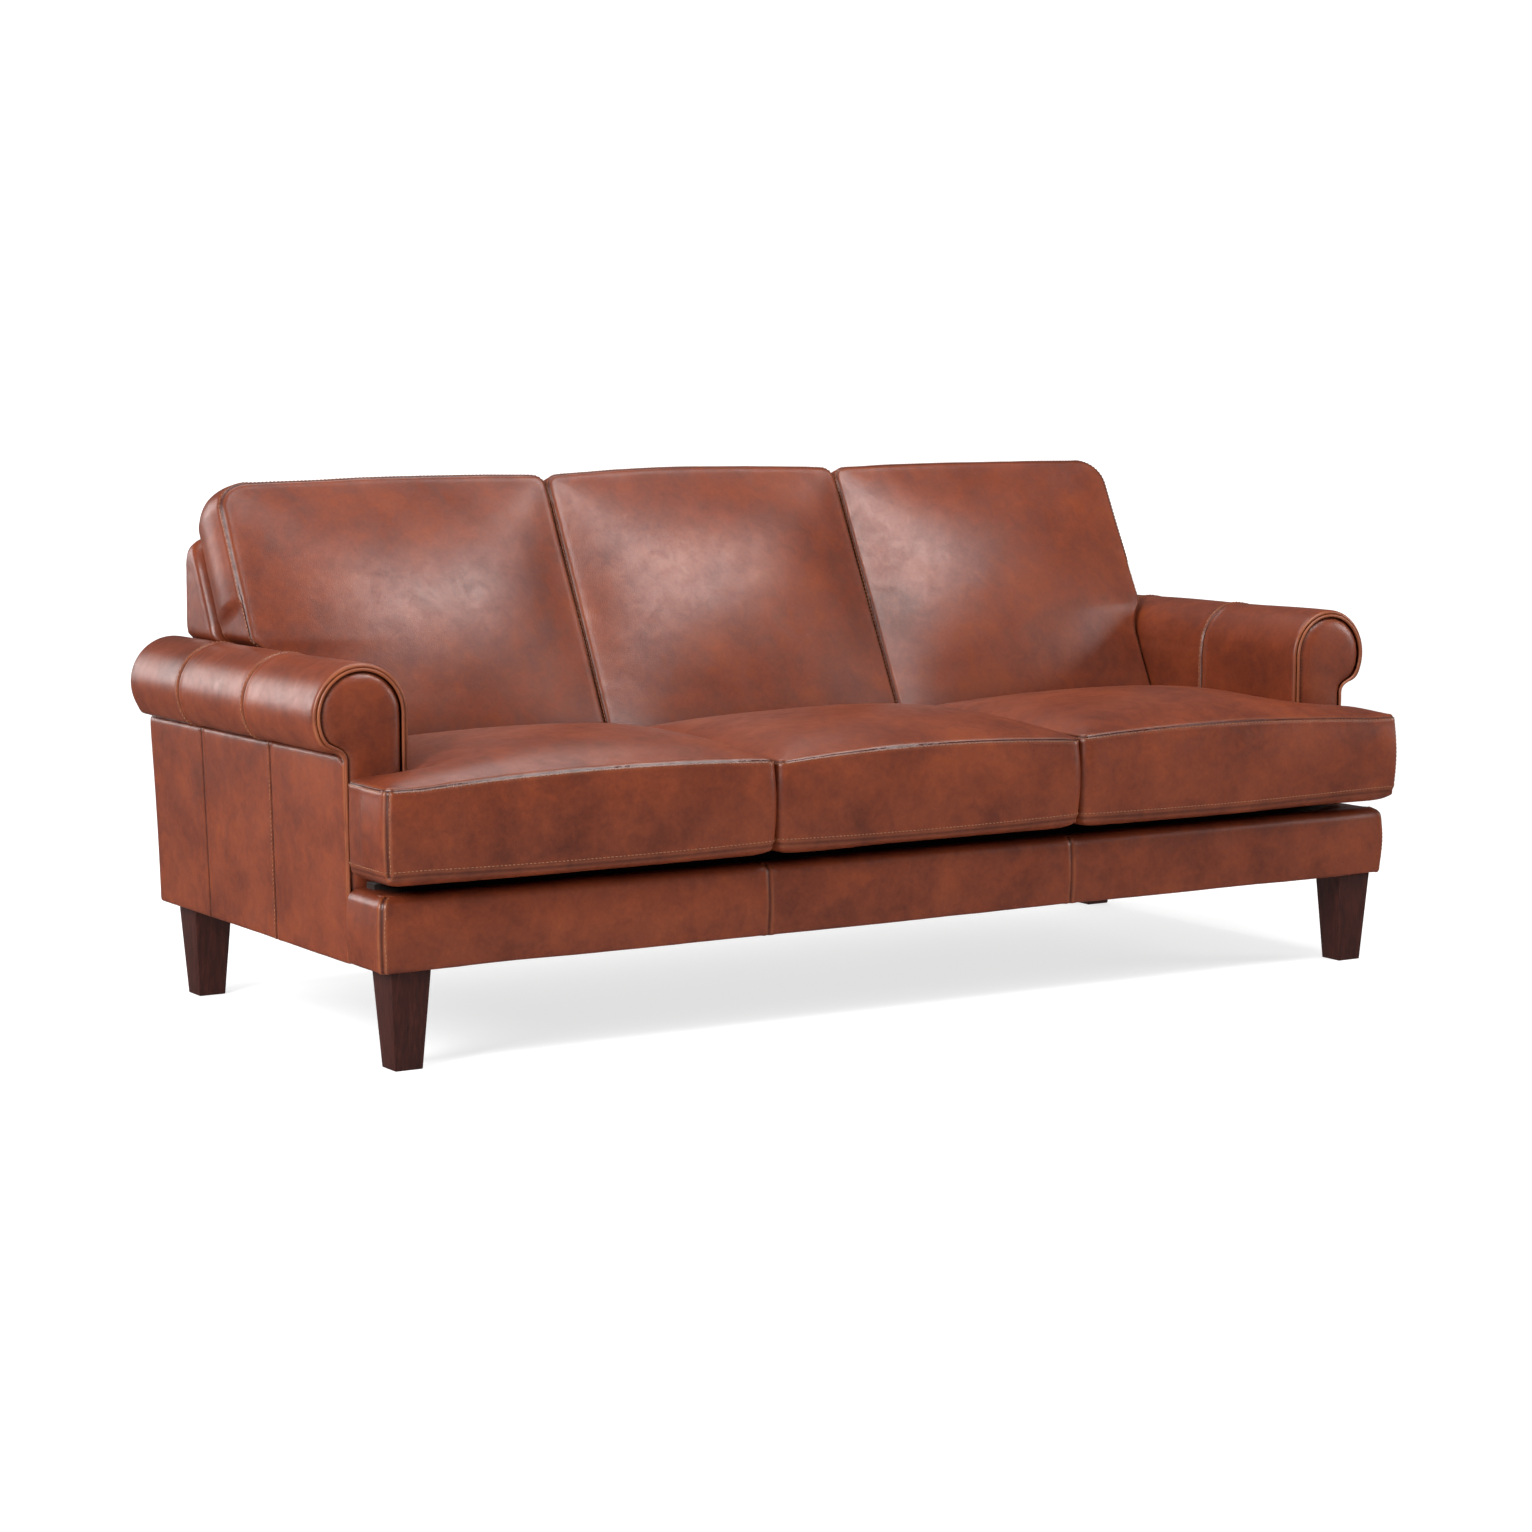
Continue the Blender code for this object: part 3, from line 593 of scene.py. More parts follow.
class BoxedCushion:
    """Two panels and a boxing strip sewn round them, over a plan made of rectangles."""

    def __init__(self, blocks, low, high, step=SKIN_STEP):
        self.low = low
        self.high = high
        # Rectangles are (x from, x to, y from, y to), with a seam at each of their sides.
        x_marks = sorted({v for b in blocks for v in b[:2]})
        y_marks = sorted({v for b in blocks for v in b[2:]})
        xs = lines_between(x_marks[0], x_marks[-1], x_marks, step)
        ys = lines_between(y_marks[0], y_marks[-1], y_marks, step)
        mid_x = (xs[1:] + xs[:-1]) / 2
        mid_y = (ys[1:] + ys[:-1]) / 2
        filled = np.zeros((len(mid_x), len(mid_y)), bool)
        for x0, x1, y0, y1 in blocks:
            filled |= ((mid_x > x0) & (mid_x < x1))[:, None] & ((mid_y > y0) & (mid_y < y1))[None]
        number = {}
        cells = []
        edges = {}
        for i, j in zip(*np.nonzero(filled)):
            ring = [(i, j), (i + 1, j), (i + 1, j + 1), (i, j + 1)]
            for spot in ring:
                number.setdefault(spot, len(number))
            ids = [number[s] for s in ring]
            cells.append(ids)
            for a, b in zip(ids, ids[1:] + ids[:1]):
                if (b, a) in edges:
                    del edges[(b, a)]
                else:
                    edges[(a, b)] = True
        # The edges that only one cell has make the outline, walked from end to end.
        follow = dict(edges.keys())
        start = next(iter(follow))
        loop = [start]
        while follow[loop[-1]] != start:
            loop.append(follow[loop[-1]])
        flat = np.zeros((len(number), 2))
        for (i, j), k in number.items():
            flat[k] = (xs[i], ys[j])
        self.flat = flat
        self.cells = cells
        self.loop = loop
        self.corners = self.find_corners()
        self.levels = lines_between(0.0, high - low, (0.0, high - low), step)[1:-1]
        self.depth = self.edge_distance(flat)

    def find_corners(self):
        ring = self.flat[self.loop]
        found = []
        for k in range(len(ring)):
            before = ring[k] - ring[k - 1]
            after = ring[(k + 1) % len(ring)] - ring[k]
            turn = before[0] * after[1] - before[1] * after[0]
            if abs(turn) > 1e-9:
                found.append((ring[k].copy(), turn > 0))
        return found

    def edge_distance(self, flat):
        """How far each point lies from the outline, softened where two edges are near."""
        spots = [c for c, _ in self.corners]
        total = np.zeros(len(flat))
        for k in range(len(spots)):
            a = spots[k]
            b = spots[(k + 1) % len(spots)]
            run = b - a
            share = np.clip(((flat - a) @ run) / (run @ run), 0, 1)
            away = np.linalg.norm(flat - (a + share[:, None] * run), axis=1)
            total += 1 / np.maximum(away, 1e-5) ** 3
        return total ** (-1 / 3)

    def rounded(self, flat, radius_at):
        """Rounds the outward corners of the plan, carrying the points inside along."""
        out = flat.copy()
        for corner, outward in self.corners:
            if not outward:
                continue
            radius = radius_at(corner)
            inward = self.inward_of(corner)
            centre = corner + inward * radius
            u = (flat[:, 0] - centre[0]) / (-inward[0] * radius)
            v = (flat[:, 1] - centre[1]) / (-inward[1] * radius)
            near = (u > 0) & (v > 0) & (u <= 1.0001) & (v <= 1.0001)
            un = u[near]
            vn = v[near]
            out[near, 0] = centre[0] - inward[0] * radius * un * np.sqrt(1 - vn**2 / 2)
            out[near, 1] = centre[1] - inward[1] * radius * vn * np.sqrt(1 - un**2 / 2)
        return out

    def inward_of(self, corner):
        away = np.linalg.norm(self.flat[self.loop] - corner, axis=1)
        k = int(np.argmin(away))
        ring = self.flat[self.loop]
        toward = (ring[(k + 3) % len(ring)] - corner) + (ring[k - 3] - corner)
        return np.sign(toward)

    def build(self, name, radius_at, top_at, bottom_at, belly_at, crown, sag, ramp_length):
        """The mesh. top_at and bottom_at give the seam heights at a plan point, crown and sag how
        far the panels stand out, and belly_at how far the boxing stands out at a place."""
        flat = self.rounded(self.flat, radius_at)
        panel = len(flat)
        ring = flat[self.loop]
        ahead = np.roll(ring, -1, 0) - np.roll(ring, 1, 0)
        out = np.stack([ahead[:, 1], -ahead[:, 0]], 1)
        out /= np.linalg.norm(out, axis=1)[:, None]
        rise = 1 - np.exp(-self.depth / ramp_length)
        fall = 1 - np.exp(-self.depth / SAG_RAMP)
        edge = np.minimum(self.depth / 0.0001, 1)
        top = np.stack([flat[:, 0], flat[:, 1], top_at(flat) + crown(flat) * rise * edge], 1)
        bottom = np.stack([flat[:, 0], flat[:, 1], bottom_at(flat) - sag(flat) * fall * edge], 1)
        points = [top, bottom]
        count = len(self.loop)
        upper = top[self.loop]
        lower = bottom[self.loop]
        span = self.high - self.low
        for level in self.levels:
            t = level / span
            row = lower * (1 - t) + upper * t
            row[:, :2] += out * (belly_at(row) * math.sin(math.pi * t) ** 0.8)[:, None]
            points.append(row)
        points = np.concatenate(points)
        faces = list(self.cells)
        faces += [[panel + k for k in reversed(c)] for c in self.cells]
        rows = [[panel + k for k in self.loop]]
        for level in range(len(self.levels)):
            start = 2 * panel + level * count
            rows.append([start + k for k in range(count)])
        rows.append(list(self.loop))
        for low_row, high_row in zip(rows, rows[1:]):
            for k in range(count):
                j = (k + 1) % count
                faces.append([low_row[k], low_row[j], high_row[j], high_row[k]])
        self.rows = rows
        self.panel = panel
        return make_mesh(name, points, faces, LEATHER)

    def row_points(self, points, row):
        return [Vector(points[k]) for k in self.rows[row]]


def fill_with_air(obj, sewn, growth, cap, pressure=3.0, frames=12):
    """Blows a sewn skin up inside its seams: the sewn points stay and the panels swell and
    crease. The leather may grow by a share and no point may move further than the cap."""
    group = obj.vertex_groups.new(name="sewn")
    group.add([int(k) for k in sewn], 1.0, "REPLACE")
    start = points_of(obj.data).copy()
    cloth = obj.modifiers.new("Fill", "CLOTH")
    settings = cloth.settings
    settings.quality = 4
    settings.mass = 0.9
    settings.tension_stiffness = 40
    settings.compression_stiffness = 40
    settings.shear_stiffness = 15
    settings.bending_stiffness = 4.0
    settings.tension_damping = 20
    settings.compression_damping = 20
    settings.air_damping = 6
    settings.shrink_min = -growth
    settings.vertex_group_mass = "sewn"
    settings.use_pressure = True
    settings.uniform_pressure_force = pressure
    settings.effector_weights.gravity = 0.0
    cloth.collision_settings.use_collision = False
    cloth.point_cache.frame_start = 1
    cloth.point_cache.frame_end = frames
    scene = bpy.context.scene
    for step in range(1, frames + 1):
        scene.frame_set(step)
    graph = bpy.context.evaluated_depsgraph_get()
    moved = points_of(obj.evaluated_get(graph).to_mesh())
    obj.evaluated_get(graph).to_mesh_clear()
    obj.modifiers.clear()
    scene.frame_set(1)
    shift = moved - start
    length = np.linalg.norm(shift, axis=1)
    keep = cap * np.tanh(length / cap) / np.maximum(length, 1e-9)
    shift *= keep[:, None]
    shift[np.asarray(sewn, int)] = 0
    put_points(obj.data, start + shift)
    obj.vertex_groups.clear()


def lean_rear(points, y_from):
    """Leans the rear of a seat cushion back, to lie along the back cushions."""
    lean = (points[:, 2] - SEAT_LOW) * math.tan(RAKE)
    share = np.clip((points[:, 1] - y_from) / (SEAT_REAR - y_from), 0, 1)
    out = points.copy()
    out[:, 1] += lean * share**1.5
    return out



def cushion_span(side, gap):
    """Where a cushion starts and ends along the sofa, with a gap beside each split."""
    if side == 0:
        return gap - SEAT_SPLIT_X, SEAT_SPLIT_X - gap
    near = SEAT_SPLIT_X + gap
    return (near, CUSHION_END_X) if side > 0 else (-CUSHION_END_X, -near)


def seat_cushion(kind, seed):
    """A loose seat cushion; the outer two are T-shaped, with an ear in front of the arm."""
    side = SIDE[kind]
    start, end = cushion_span(side, 0.0018)
    centre = (start + end) / 2
    half = (end - start) / 2
    front_y = SEAT_FRONT_Y + 0.006
    blocks = [(start, end, front_y, SEAT_REAR)]
    if side:
        ear = sorted((side * CUSHION_END_X, side * (SEAT_EAR - 0.004)))
        blocks.append((*ear, front_y, SEAT_EAR_BACK))
    cushion = BoxedCushion(blocks, SEAT_LOW, SEAT_HIGH)

    def radius_at(corner):
        return 0.020 if corner[1] < -0.3 else 0.016

    def bow(flat):
        return 1 - np.clip((flat[:, 0] - centre) / (half + 0.06 * abs(side)), -1, 1) ** 2

    def top_at(flat):
        return 0.4770 + 0.0130 * bow(flat)

    def bottom_at(flat):
        return 0.3335 - 0.006 * bow(flat)

    def belly_at(row):
        front = row[:, 1] < SEAT_EAR_BACK - 0.06
        ear_back = np.abs(row[:, 0]) > CUSHION_END_X + 0.004
        return np.where(front, 0.0060, np.where(ear_back, 0.0008, 0.0014))

    def crown(flat):
        deep = np.clip((flat[:, 1] - SEAT_FRONT_Y) / (SEAT_REAR - SEAT_FRONT_Y), 0, 1)
        return 0.0330 + 0.0160 * bow(flat) ** 0.7 * np.sin(math.pi * deep**0.8)

    def sag(flat):
        return bottom_at(flat) - 0.3108

    obj = cushion.build(
        f"seat_cushion_{kind}", radius_at, top_at, bottom_at, belly_at, crown, sag, 0.070
    )
    mesh = obj.data
    points = lean_rear(points_of(mesh), -0.16)
    put_points(mesh, points)
    sewn = list(range(cushion.panel, 2 * cushion.panel)) + list(cushion.loop)
    sewn += [
        k
        for k in range(2 * cushion.panel, len(points))
        if points[k, 1] > SEAT_EAR_BACK - 0.03 and abs(points[k, 0] - centre) > half - 0.03
    ]
    fill_with_air(obj, sewn, growth=0.022, cap=0.011)
    points = points_of(mesh)
    top_seam = cushion.row_points(points, -1)
    low_seam = cushion.row_points(points, 0)
    under_top = cushion.row_points(points, -3)
    over_low = cushion.row_points(points, 2)
    seams = [
        Seam(top_seam, groove=0.0022, ridge=0.0005, pucker=0.0011, closed=True, wear=0.20),
        Seam(
            low_seam, groove=0.0010, ridge=0.0006, pucker=0.0009, closed=True, wear=0.25, seam_dark_and_shade=0.4
        ),
    ]
    rows = [(under_top, True), (over_low, True)]
    if side:
        corner = Vector((side * (SEAT_EAR - 0.0045), SEAT_FRONT_Y + 0.0055))
        near_foot = [(p.xy - corner).length for p in cushion.row_points(points, 1)]
        nearest = near_foot.index(min(near_foot))
        column = [Vector(points[row[nearest]]) for row in cushion.rows]
        seams.append(Seam(column, groove=0.0014, ridge=0.0010, pucker=0.0006, wear=0.40))
        front = [p + Vector((-side * 0.0055, -0.0012, 0)) for p in column]
        rows.append((front[2:-2], False))
    subdivide_once(obj)
    dress(obj, seams, seed)
    stitches(f"seat_stitches_{kind}", rows, obj)
    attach(obj, f"seat_cushion_{kind}")
    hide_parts(f"seat_cushion_cover_{kind}", f"seat_cushion_core_{kind}")
    return obj


def back_face_y(z):
    """The raked front of the inner back, which the back cushions lean on."""
    return BACK_TOP_Y + (z - BACK_TOP) * math.tan(RAKE)


def back_cushion(kind, seed):
    """A loose back cushion, made lying down and then stood up along the rake."""
    side = SIDE[kind]
    top = BACK_LENGTH - 0.004
    start, end = cushion_span(side, 0.0020)
    centre = (start + end) / 2
    half = (end - start) / 2
    cushion = BoxedCushion([(start, end, 0.0, top)], BACK_REAR_SEAM, BACK_SEAM_DEPTH)

    def radius_at(corner):
        if corner[1] < 0.1:
            return 0.018
        outer = side and side * corner[0] > 0.6
        return 0.052 if outer else 0.024

    def top_at(flat):
        return np.full(len(flat), BACK_SEAM_DEPTH)

    def bottom_at(flat):
        return np.full(len(flat), BACK_REAR_SEAM)

    def belly_at(row):
        free = row[:, 1] > 0.42
        outer = side * row[:, 0] > 0.9
        return np.where(free & outer, 0.013, np.where(row[:, 1] > 0.6, 0.007, 0.0012))

    def crown(flat):
        across = np.clip((flat[:, 0] - centre) / half, -1, 1)
        along = np.clip((flat[:, 1] - 0.10) / (top - 0.10), 0, 1)
        dome = (1 - across**2) ** 0.8 * np.sin(math.pi * along)
        return 0.0140 + 0.0370 * dome

    def sag(flat):
        return np.full(len(flat), 0.006)

    obj = cushion.build(
        f"back_cushion_{kind}", radius_at, top_at, bottom_at, belly_at, crown, sag, 0.075
    )
    mesh = obj.data
    points = points_of(mesh)
    # Above the arms an outer cushion spreads, and the middle one arches at its top.
    if side:
        height = BACK_FOOT_Z + points[:, 1] * math.cos(RAKE) + points[:, 2] * math.sin(RAKE)
        full = 0.050 if side < 0 else 0.032
        over = np.clip(height - ROLL_Z, 0, ROLL_RADIUS - 0.0001)
        room = ROLL_X - np.sqrt(ROLL_RADIUS**2 - over**2) - ARM_INNER_X - 0.0015
        room = np.clip(room / full, 0, 1)
        reach = np.clip((side * points[:, 0] - 0.70) / 0.25, 0, 1)
        points[:, 0] += side * full * room * reach
    arch = 1 - np.clip((points[:, 0] - centre) / half, -1, 1) ** 2
    lift = (0.010 if side == 0 else 0.004) * arch * np.clip(points[:, 1] / top, 0, 1) ** 3
    points[:, 1] += lift
    put_points(mesh, points)
    sewn = list(range(cushion.panel, len(points)))
    fill_with_air(obj, sewn, growth=0.020, cap=0.012)
    points = points_of(mesh)
    front_seam = cushion.row_points(points, -1)
    rear_seam = cushion.row_points(points, 0)
    boxing_row = cushion.row_points(points, -3)
    seams = [
        Seam(front_seam, groove=0.0022, ridge=0.0006, pucker=0.0011, closed=True, wear=0.10),
        Seam(rear_seam, groove=0.0016, ridge=0.0010, pucker=0.0008, closed=True, wear=0.4),
    ]
    subdivide_once(obj)
    dress(obj, seams, seed, sway=0.0016)
    # Painted shade: the leather's colour is darkened where the cushion's foot meets the seat, standing
    # in for the seat's shadow.
    mesh = obj.data
    painted_foot_shade = np.clip(1 - (points_of(mesh)[:, 1] - 0.085) / 0.085, 0, 1)
    raise_layer(mesh, "seam_dark_and_shade", 0.75 * painted_foot_shade**1.3)
    # Local x is along the sofa, local y up the rake and local z out of the cushion's face.
    foot = Matrix.Translation((0, back_face_y(BACK_FOOT_Z) - 0.00225, BACK_FOOT_Z))
    place = foot @ Matrix.Rotation(math.pi / 2 - RAKE, 4, "X")
    mesh.transform(place)
    mesh.update()
    stitches(f"back_stitches_{kind}", [([place @ p for p in boxing_row], True)], obj)
    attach(obj, f"back_cushion_{kind}")
    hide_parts(f"back_cushion_cover_{kind}", f"back_cushion_core_{kind}")
    return obj


# ---------------------------------------------------------------- rolled arms


def bend(a, b, c, d, count):
    """Points on the curve that leaves a towards b and reaches d from c."""
    return [
        tuple(
            (1 - t) ** 3 * a[i] + 3 * t * (1 - t) ** 2 * b[i] + 3 * t * t * (1 - t) * c[i] + t**3 * d[i]
            for i in (0, 1)
        )
        for t in (k / count for k in range(1, count + 1))
    ]


INNER_POINTS = 24
ROLL_POINTS = 43
NECK_POINTS = 8
NECK_POINT = INNER_POINTS + ROLL_POINTS + NECK_POINTS
FACING_POINTS = NECK_POINT + 26  # the welt and the front facing end behind the rail


def arm_section(inset, rearward, tuck=1.0):
    """The arm from the front, on the +X side: the inner face, the roll, the neck and the outer
    panel, all set in by inset. rearward runs from 0 at the front to 1 at the rear, where the roll
    is slimmer and the panel fuller. tuck is 1 where the neck is creased and 0 where it is one
    smooth curve."""
    radius = ROLL_RADIUS - ROLL_SLIMMER * rearward - inset
    centre_z = ROLL_Z - ROLL_SLIMMER * rearward
    outline = [
        (ARM_INNER_X + inset, 0.300 + (centre_z - 0.300) * k / INNER_POINTS)
        for k in range(INNER_POINTS)
    ]
    for k in range(ROLL_POINTS):
        angle = math.radians(180 - 208 * k / (ROLL_POINTS - 1))
        outline.append((ROLL_X + radius * math.cos(angle), centre_z + radius * math.sin(angle)))
    start = outline[-1]
    side = 0.45 * inset
    neck_z = 0.5215 - ROLL_SLIMMER * rearward

    def panel_x(z):
        full = 0.015 * (0.30 + 0.70 * rearward)
        return BASE_HALF + full * min(1, max(0, (z - RAIL_LOW) / 0.34)) ** 1.2 - side

    lean = (start[0] - 0.0105, start[1] - 0.0195)
    crease_end = (panel_x(neck_z) - 0.0030, neck_z - 0.0010)
    smooth_end = (panel_x(neck_z) - 0.0004, neck_z - 0.0120)
    creased = bend(start, lean, (crease_end[0] + 0.024, neck_z + 0.002), crease_end, NECK_POINTS)
    creased += [
        (panel_x(neck_z) - 0.0045, neck_z - 0.0022),
        (panel_x(neck_z) - 0.0012, neck_z - 0.0080),
        (panel_x(neck_z - 0.016), neck_z - 0.0160),
    ]
    smooth = bend(start, lean, (smooth_end[0] + 0.001, neck_z + 0.012), smooth_end, NECK_POINTS)
    smooth += [(panel_x(neck_z - drop), neck_z - drop) for drop in (0.0150, 0.0180, 0.0210)]
    outline += [
        (a[0] * tuck + b[0] * (1 - tuck), a[1] * tuck + b[1] * (1 - tuck))
        for a, b in zip(creased, smooth)
    ]
    bottom = RAIL_LOW - 0.002
    outline += [(panel_x(z), z) for z in np.linspace(outline[-1][1], bottom, 31)[1:]]
    outline += [(BASE_HALF - 0.004 - side, bottom - 0.0005), (BASE_HALF - 0.016, bottom + 0.001)]
    return outline


def rolled_arm(place, seed):
    """The arm's skin in one piece, with its stitches, welt, front facing and rear facing."""
    side = SIDE[place]
    ys = lines_between(ARM_FRONT_Y + 0.009, REAR_Y - 0.010, ARM_SEAMS_Y, 0.011)
    # The front edge turns in towards the welt, and the rear edge towards the rear facing.
    rows = [(-0.3120, 0.0090), (-0.3155, 0.0075), (-0.3172, 0.0050), (-0.3160, 0.0022)]
    rows.append((-0.3130, 0.0006))
    rows += [(y, 0.0) for y in ys]
    rows += [(REAR_Y - 0.006, 0.0008), (REAR_Y - 0.002, 0.003), (REAR_Y, 0.007)]
    rows.append((REAR_Y - 0.002, 0.012))
    points = []
    for y, inset in rows:
        rearward = np.clip((y - ARM_FRONT_Y) / (REAR_Y - ARM_FRONT_Y), 0, 1)
        tuck = np.clip((y - ARM_FRONT_Y - 0.002) / 0.016, 0, 1)
        points += [(side * x, y, z) for x, z in arm_section(inset, rearward, tuck)]
    width = len(points) // len(rows)
    obj = make_mesh(f"arm_{place}", points, strip_faces(len(rows), width), LEATHER)
    grid = np.array(points).reshape(len(rows), width, 3)
    fix_outward(obj, Vector((side * 1.01, 0.1, 0.45)))
    seams = []
    stitch_rows = []
    for number, y in enumerate(ARM_SEAMS_Y):
        row = next(r for r in range(len(rows)) if abs(rows[r][0] - y) < 1e-4)
        roll = [Vector(grid[row, k]) for k in range(2, NECK_POINT)]
        # The panel's seam stands a little behind the roll's, as the two are sewn apart.
        panel = [Vector(grid[row, k]) for k in range(NECK_POINT + 1, width - 2)]
        seams.append(Seam(roll, groove=0.0024, ridge=0.0016, pucker=0.0008, reach=0.018, wear=0.55))
        seams.append(Seam(panel, groove=0.0014, ridge=0.0005, pucker=0.0004, wear=0.10))
        stitch_rows.append(([p + Vector((0, 0.0062, 0)) for p in roll], False))
        if number == 0:
            stitch_rows.append(([p + Vector((0, 0.0045, 0)) for p in panel], False))
    neck = [Vector(grid[r, NECK_POINT]) for r in range(4, len(rows) - 3)]
    seams.append(Seam(neck, groove=0.0020, ridge=0.0004, pucker=0.0014, reach=0.018, wear=0.05))
    subdivide_once(obj)
    dress(obj, seams, seed, sway=0.0012)
    mark_edge(obj, ARM_FRONT_Y, 0.0022)
    stitches(f"arm_stitches_{place}", stitch_rows, obj)
    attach(obj, BODY_FRAME)
    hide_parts(f"arm_cover_{place}")

    welt_path = [
        Vector((side * x, -0.3176, z)) for x, z in arm_section(0.0104, 0, 0)[:FACING_POINTS]
    ]
    welt = piping(f"arm_welt_{place}", welt_path, 0.0028, obj)
    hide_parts(f"facing_welt_{place}")
    outline = arm_section(0.0143, 0, 0)[:FACING_POINTS]
    facing = end_panel(f"arm_front_{place}", outline, side, -0.3126, -0.0110, seed)
    facing.parent = obj
    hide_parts(f"arm_facing_{place}")
    # The rear facing reaches down beside the foot of the back.
    heel_x = BASE_HALF - 0.0140
    heel = [(heel_x, RAIL_LOW), (heel_x, 0.262), (ARM_INNER_X + 0.0040, 0.262)]
    outline = heel + arm_section(0.0105, 1.0)
    rear = end_panel(f"arm_rear_{place}", outline, side, REAR_Y - 0.0015, 0.0015, seed + 3)
    rear.parent = obj


def fix_outward(obj, inside):
    """Turns an open skin's faces so that they look away from a point inside it."""
    mesh = obj.data
    total = 0.0
    for face in mesh.polygons:
        total += face.area * face.normal.dot(face.center - inside)
    if total < 0:
        mesh.flip_normals()


def mark_edge(obj, y, reach):
    """Rubs the wax off the edge that turns in at the front."""
    points = points_of(obj.data)
    rub = np.exp(-(((points[:, 1] - y - 0.0008) / reach) ** 2)) * 0.45
    rub *= 0.7 + 0.5 * smooth_noise(points, 0.03, 8)
    raise_layer(obj.data, "wear", np.clip(rub, 0, 1))


def end_panel(name, outline, side, y, puff, seed):
    """A puffed panel that closes the end of an arm, cut to an outline of (x, z) points."""
    ring, _ = along_path([Vector((side * x, z, 0)) for x, z in outline], 0.006, True)
    ring = np.array([(p.x, p.y) for p in ring])
    low = ring.min(0)
    high = ring.max(0)
    step = 0.0075
    xs = np.arange(low[0] + step / 2, high[0], step)
    zs = np.arange(low[1] + step / 2, high[1], step)
    inner = np.array([(a, b) for a in xs for b in zs])

    def inside(spots):
        """True where a line to the right of the spot crosses the outline an odd number of times."""
        crossings = np.zeros(len(spots), int)
        for (ax, az), (bx, bz) in zip(ring, np.roll(ring, -1, 0)):
            over = (az > spots[:, 1]) != (bz > spots[:, 1])
            if bz != az:
                at = ax + (spots[:, 1] - az) * (bx - ax) / (bz - az)
                crossings += (over & (spots[:, 0] < at)).astype(int)
        return crossings % 2 == 1

    def away(spots):
        gap = np.full(len(spots), 9.0)
        for a, b in zip(ring, np.roll(ring, -1, 0)):
            run = b - a
            share = np.clip(((spots - a) @ run) / max(run @ run, 1e-12), 0, 1)
            gap = np.minimum(gap, np.linalg.norm(spots - (a + share[:, None] * run), axis=1))
        return gap

    inner = inner[inside(inner)]
    inner = inner[away(inner) > 0.004]
    spots = np.concatenate([ring, inner])
    edges = [(k, (k + 1) % len(ring)) for k in range(len(ring))]
    made = delaunay_2d_cdt([Vector(p) for p in spots], edges, [], 1, 1e-6)
    flat = np.array([(p.x, p.y) for p in made[0]])
    gap = away(flat)
    lumps = smooth_noise(np.column_stack([flat, np.zeros(len(flat))]), 0.07, seed)
    height = puff * (1 - np.exp(-gap / 0.0085))
    height += 0.0012 * lumps * np.sign(puff) * np.minimum(gap / 0.02, 1)
    points = [(a, y + h, b) for (a, b), h in zip(flat, height)]
    obj = make_mesh(name, points, made[2], LEATHER)
    fix_outward(obj, Vector((side * 1.03, y - math.copysign(0.3, puff), 0.5)))
    subdivide_once(obj)
    rim = [Vector((p[0], y, p[1])) for p in ring]
    seam = Seam(rim, groove=0.0, ridge=0.0, pucker=0.0004, closed=True, wear=0.25, seam_dark_and_shade=0.9)
    dress(obj, [seam], seed, sway=0.0006)
    return obj


# ---------------------------------------------------------------- front rail and back


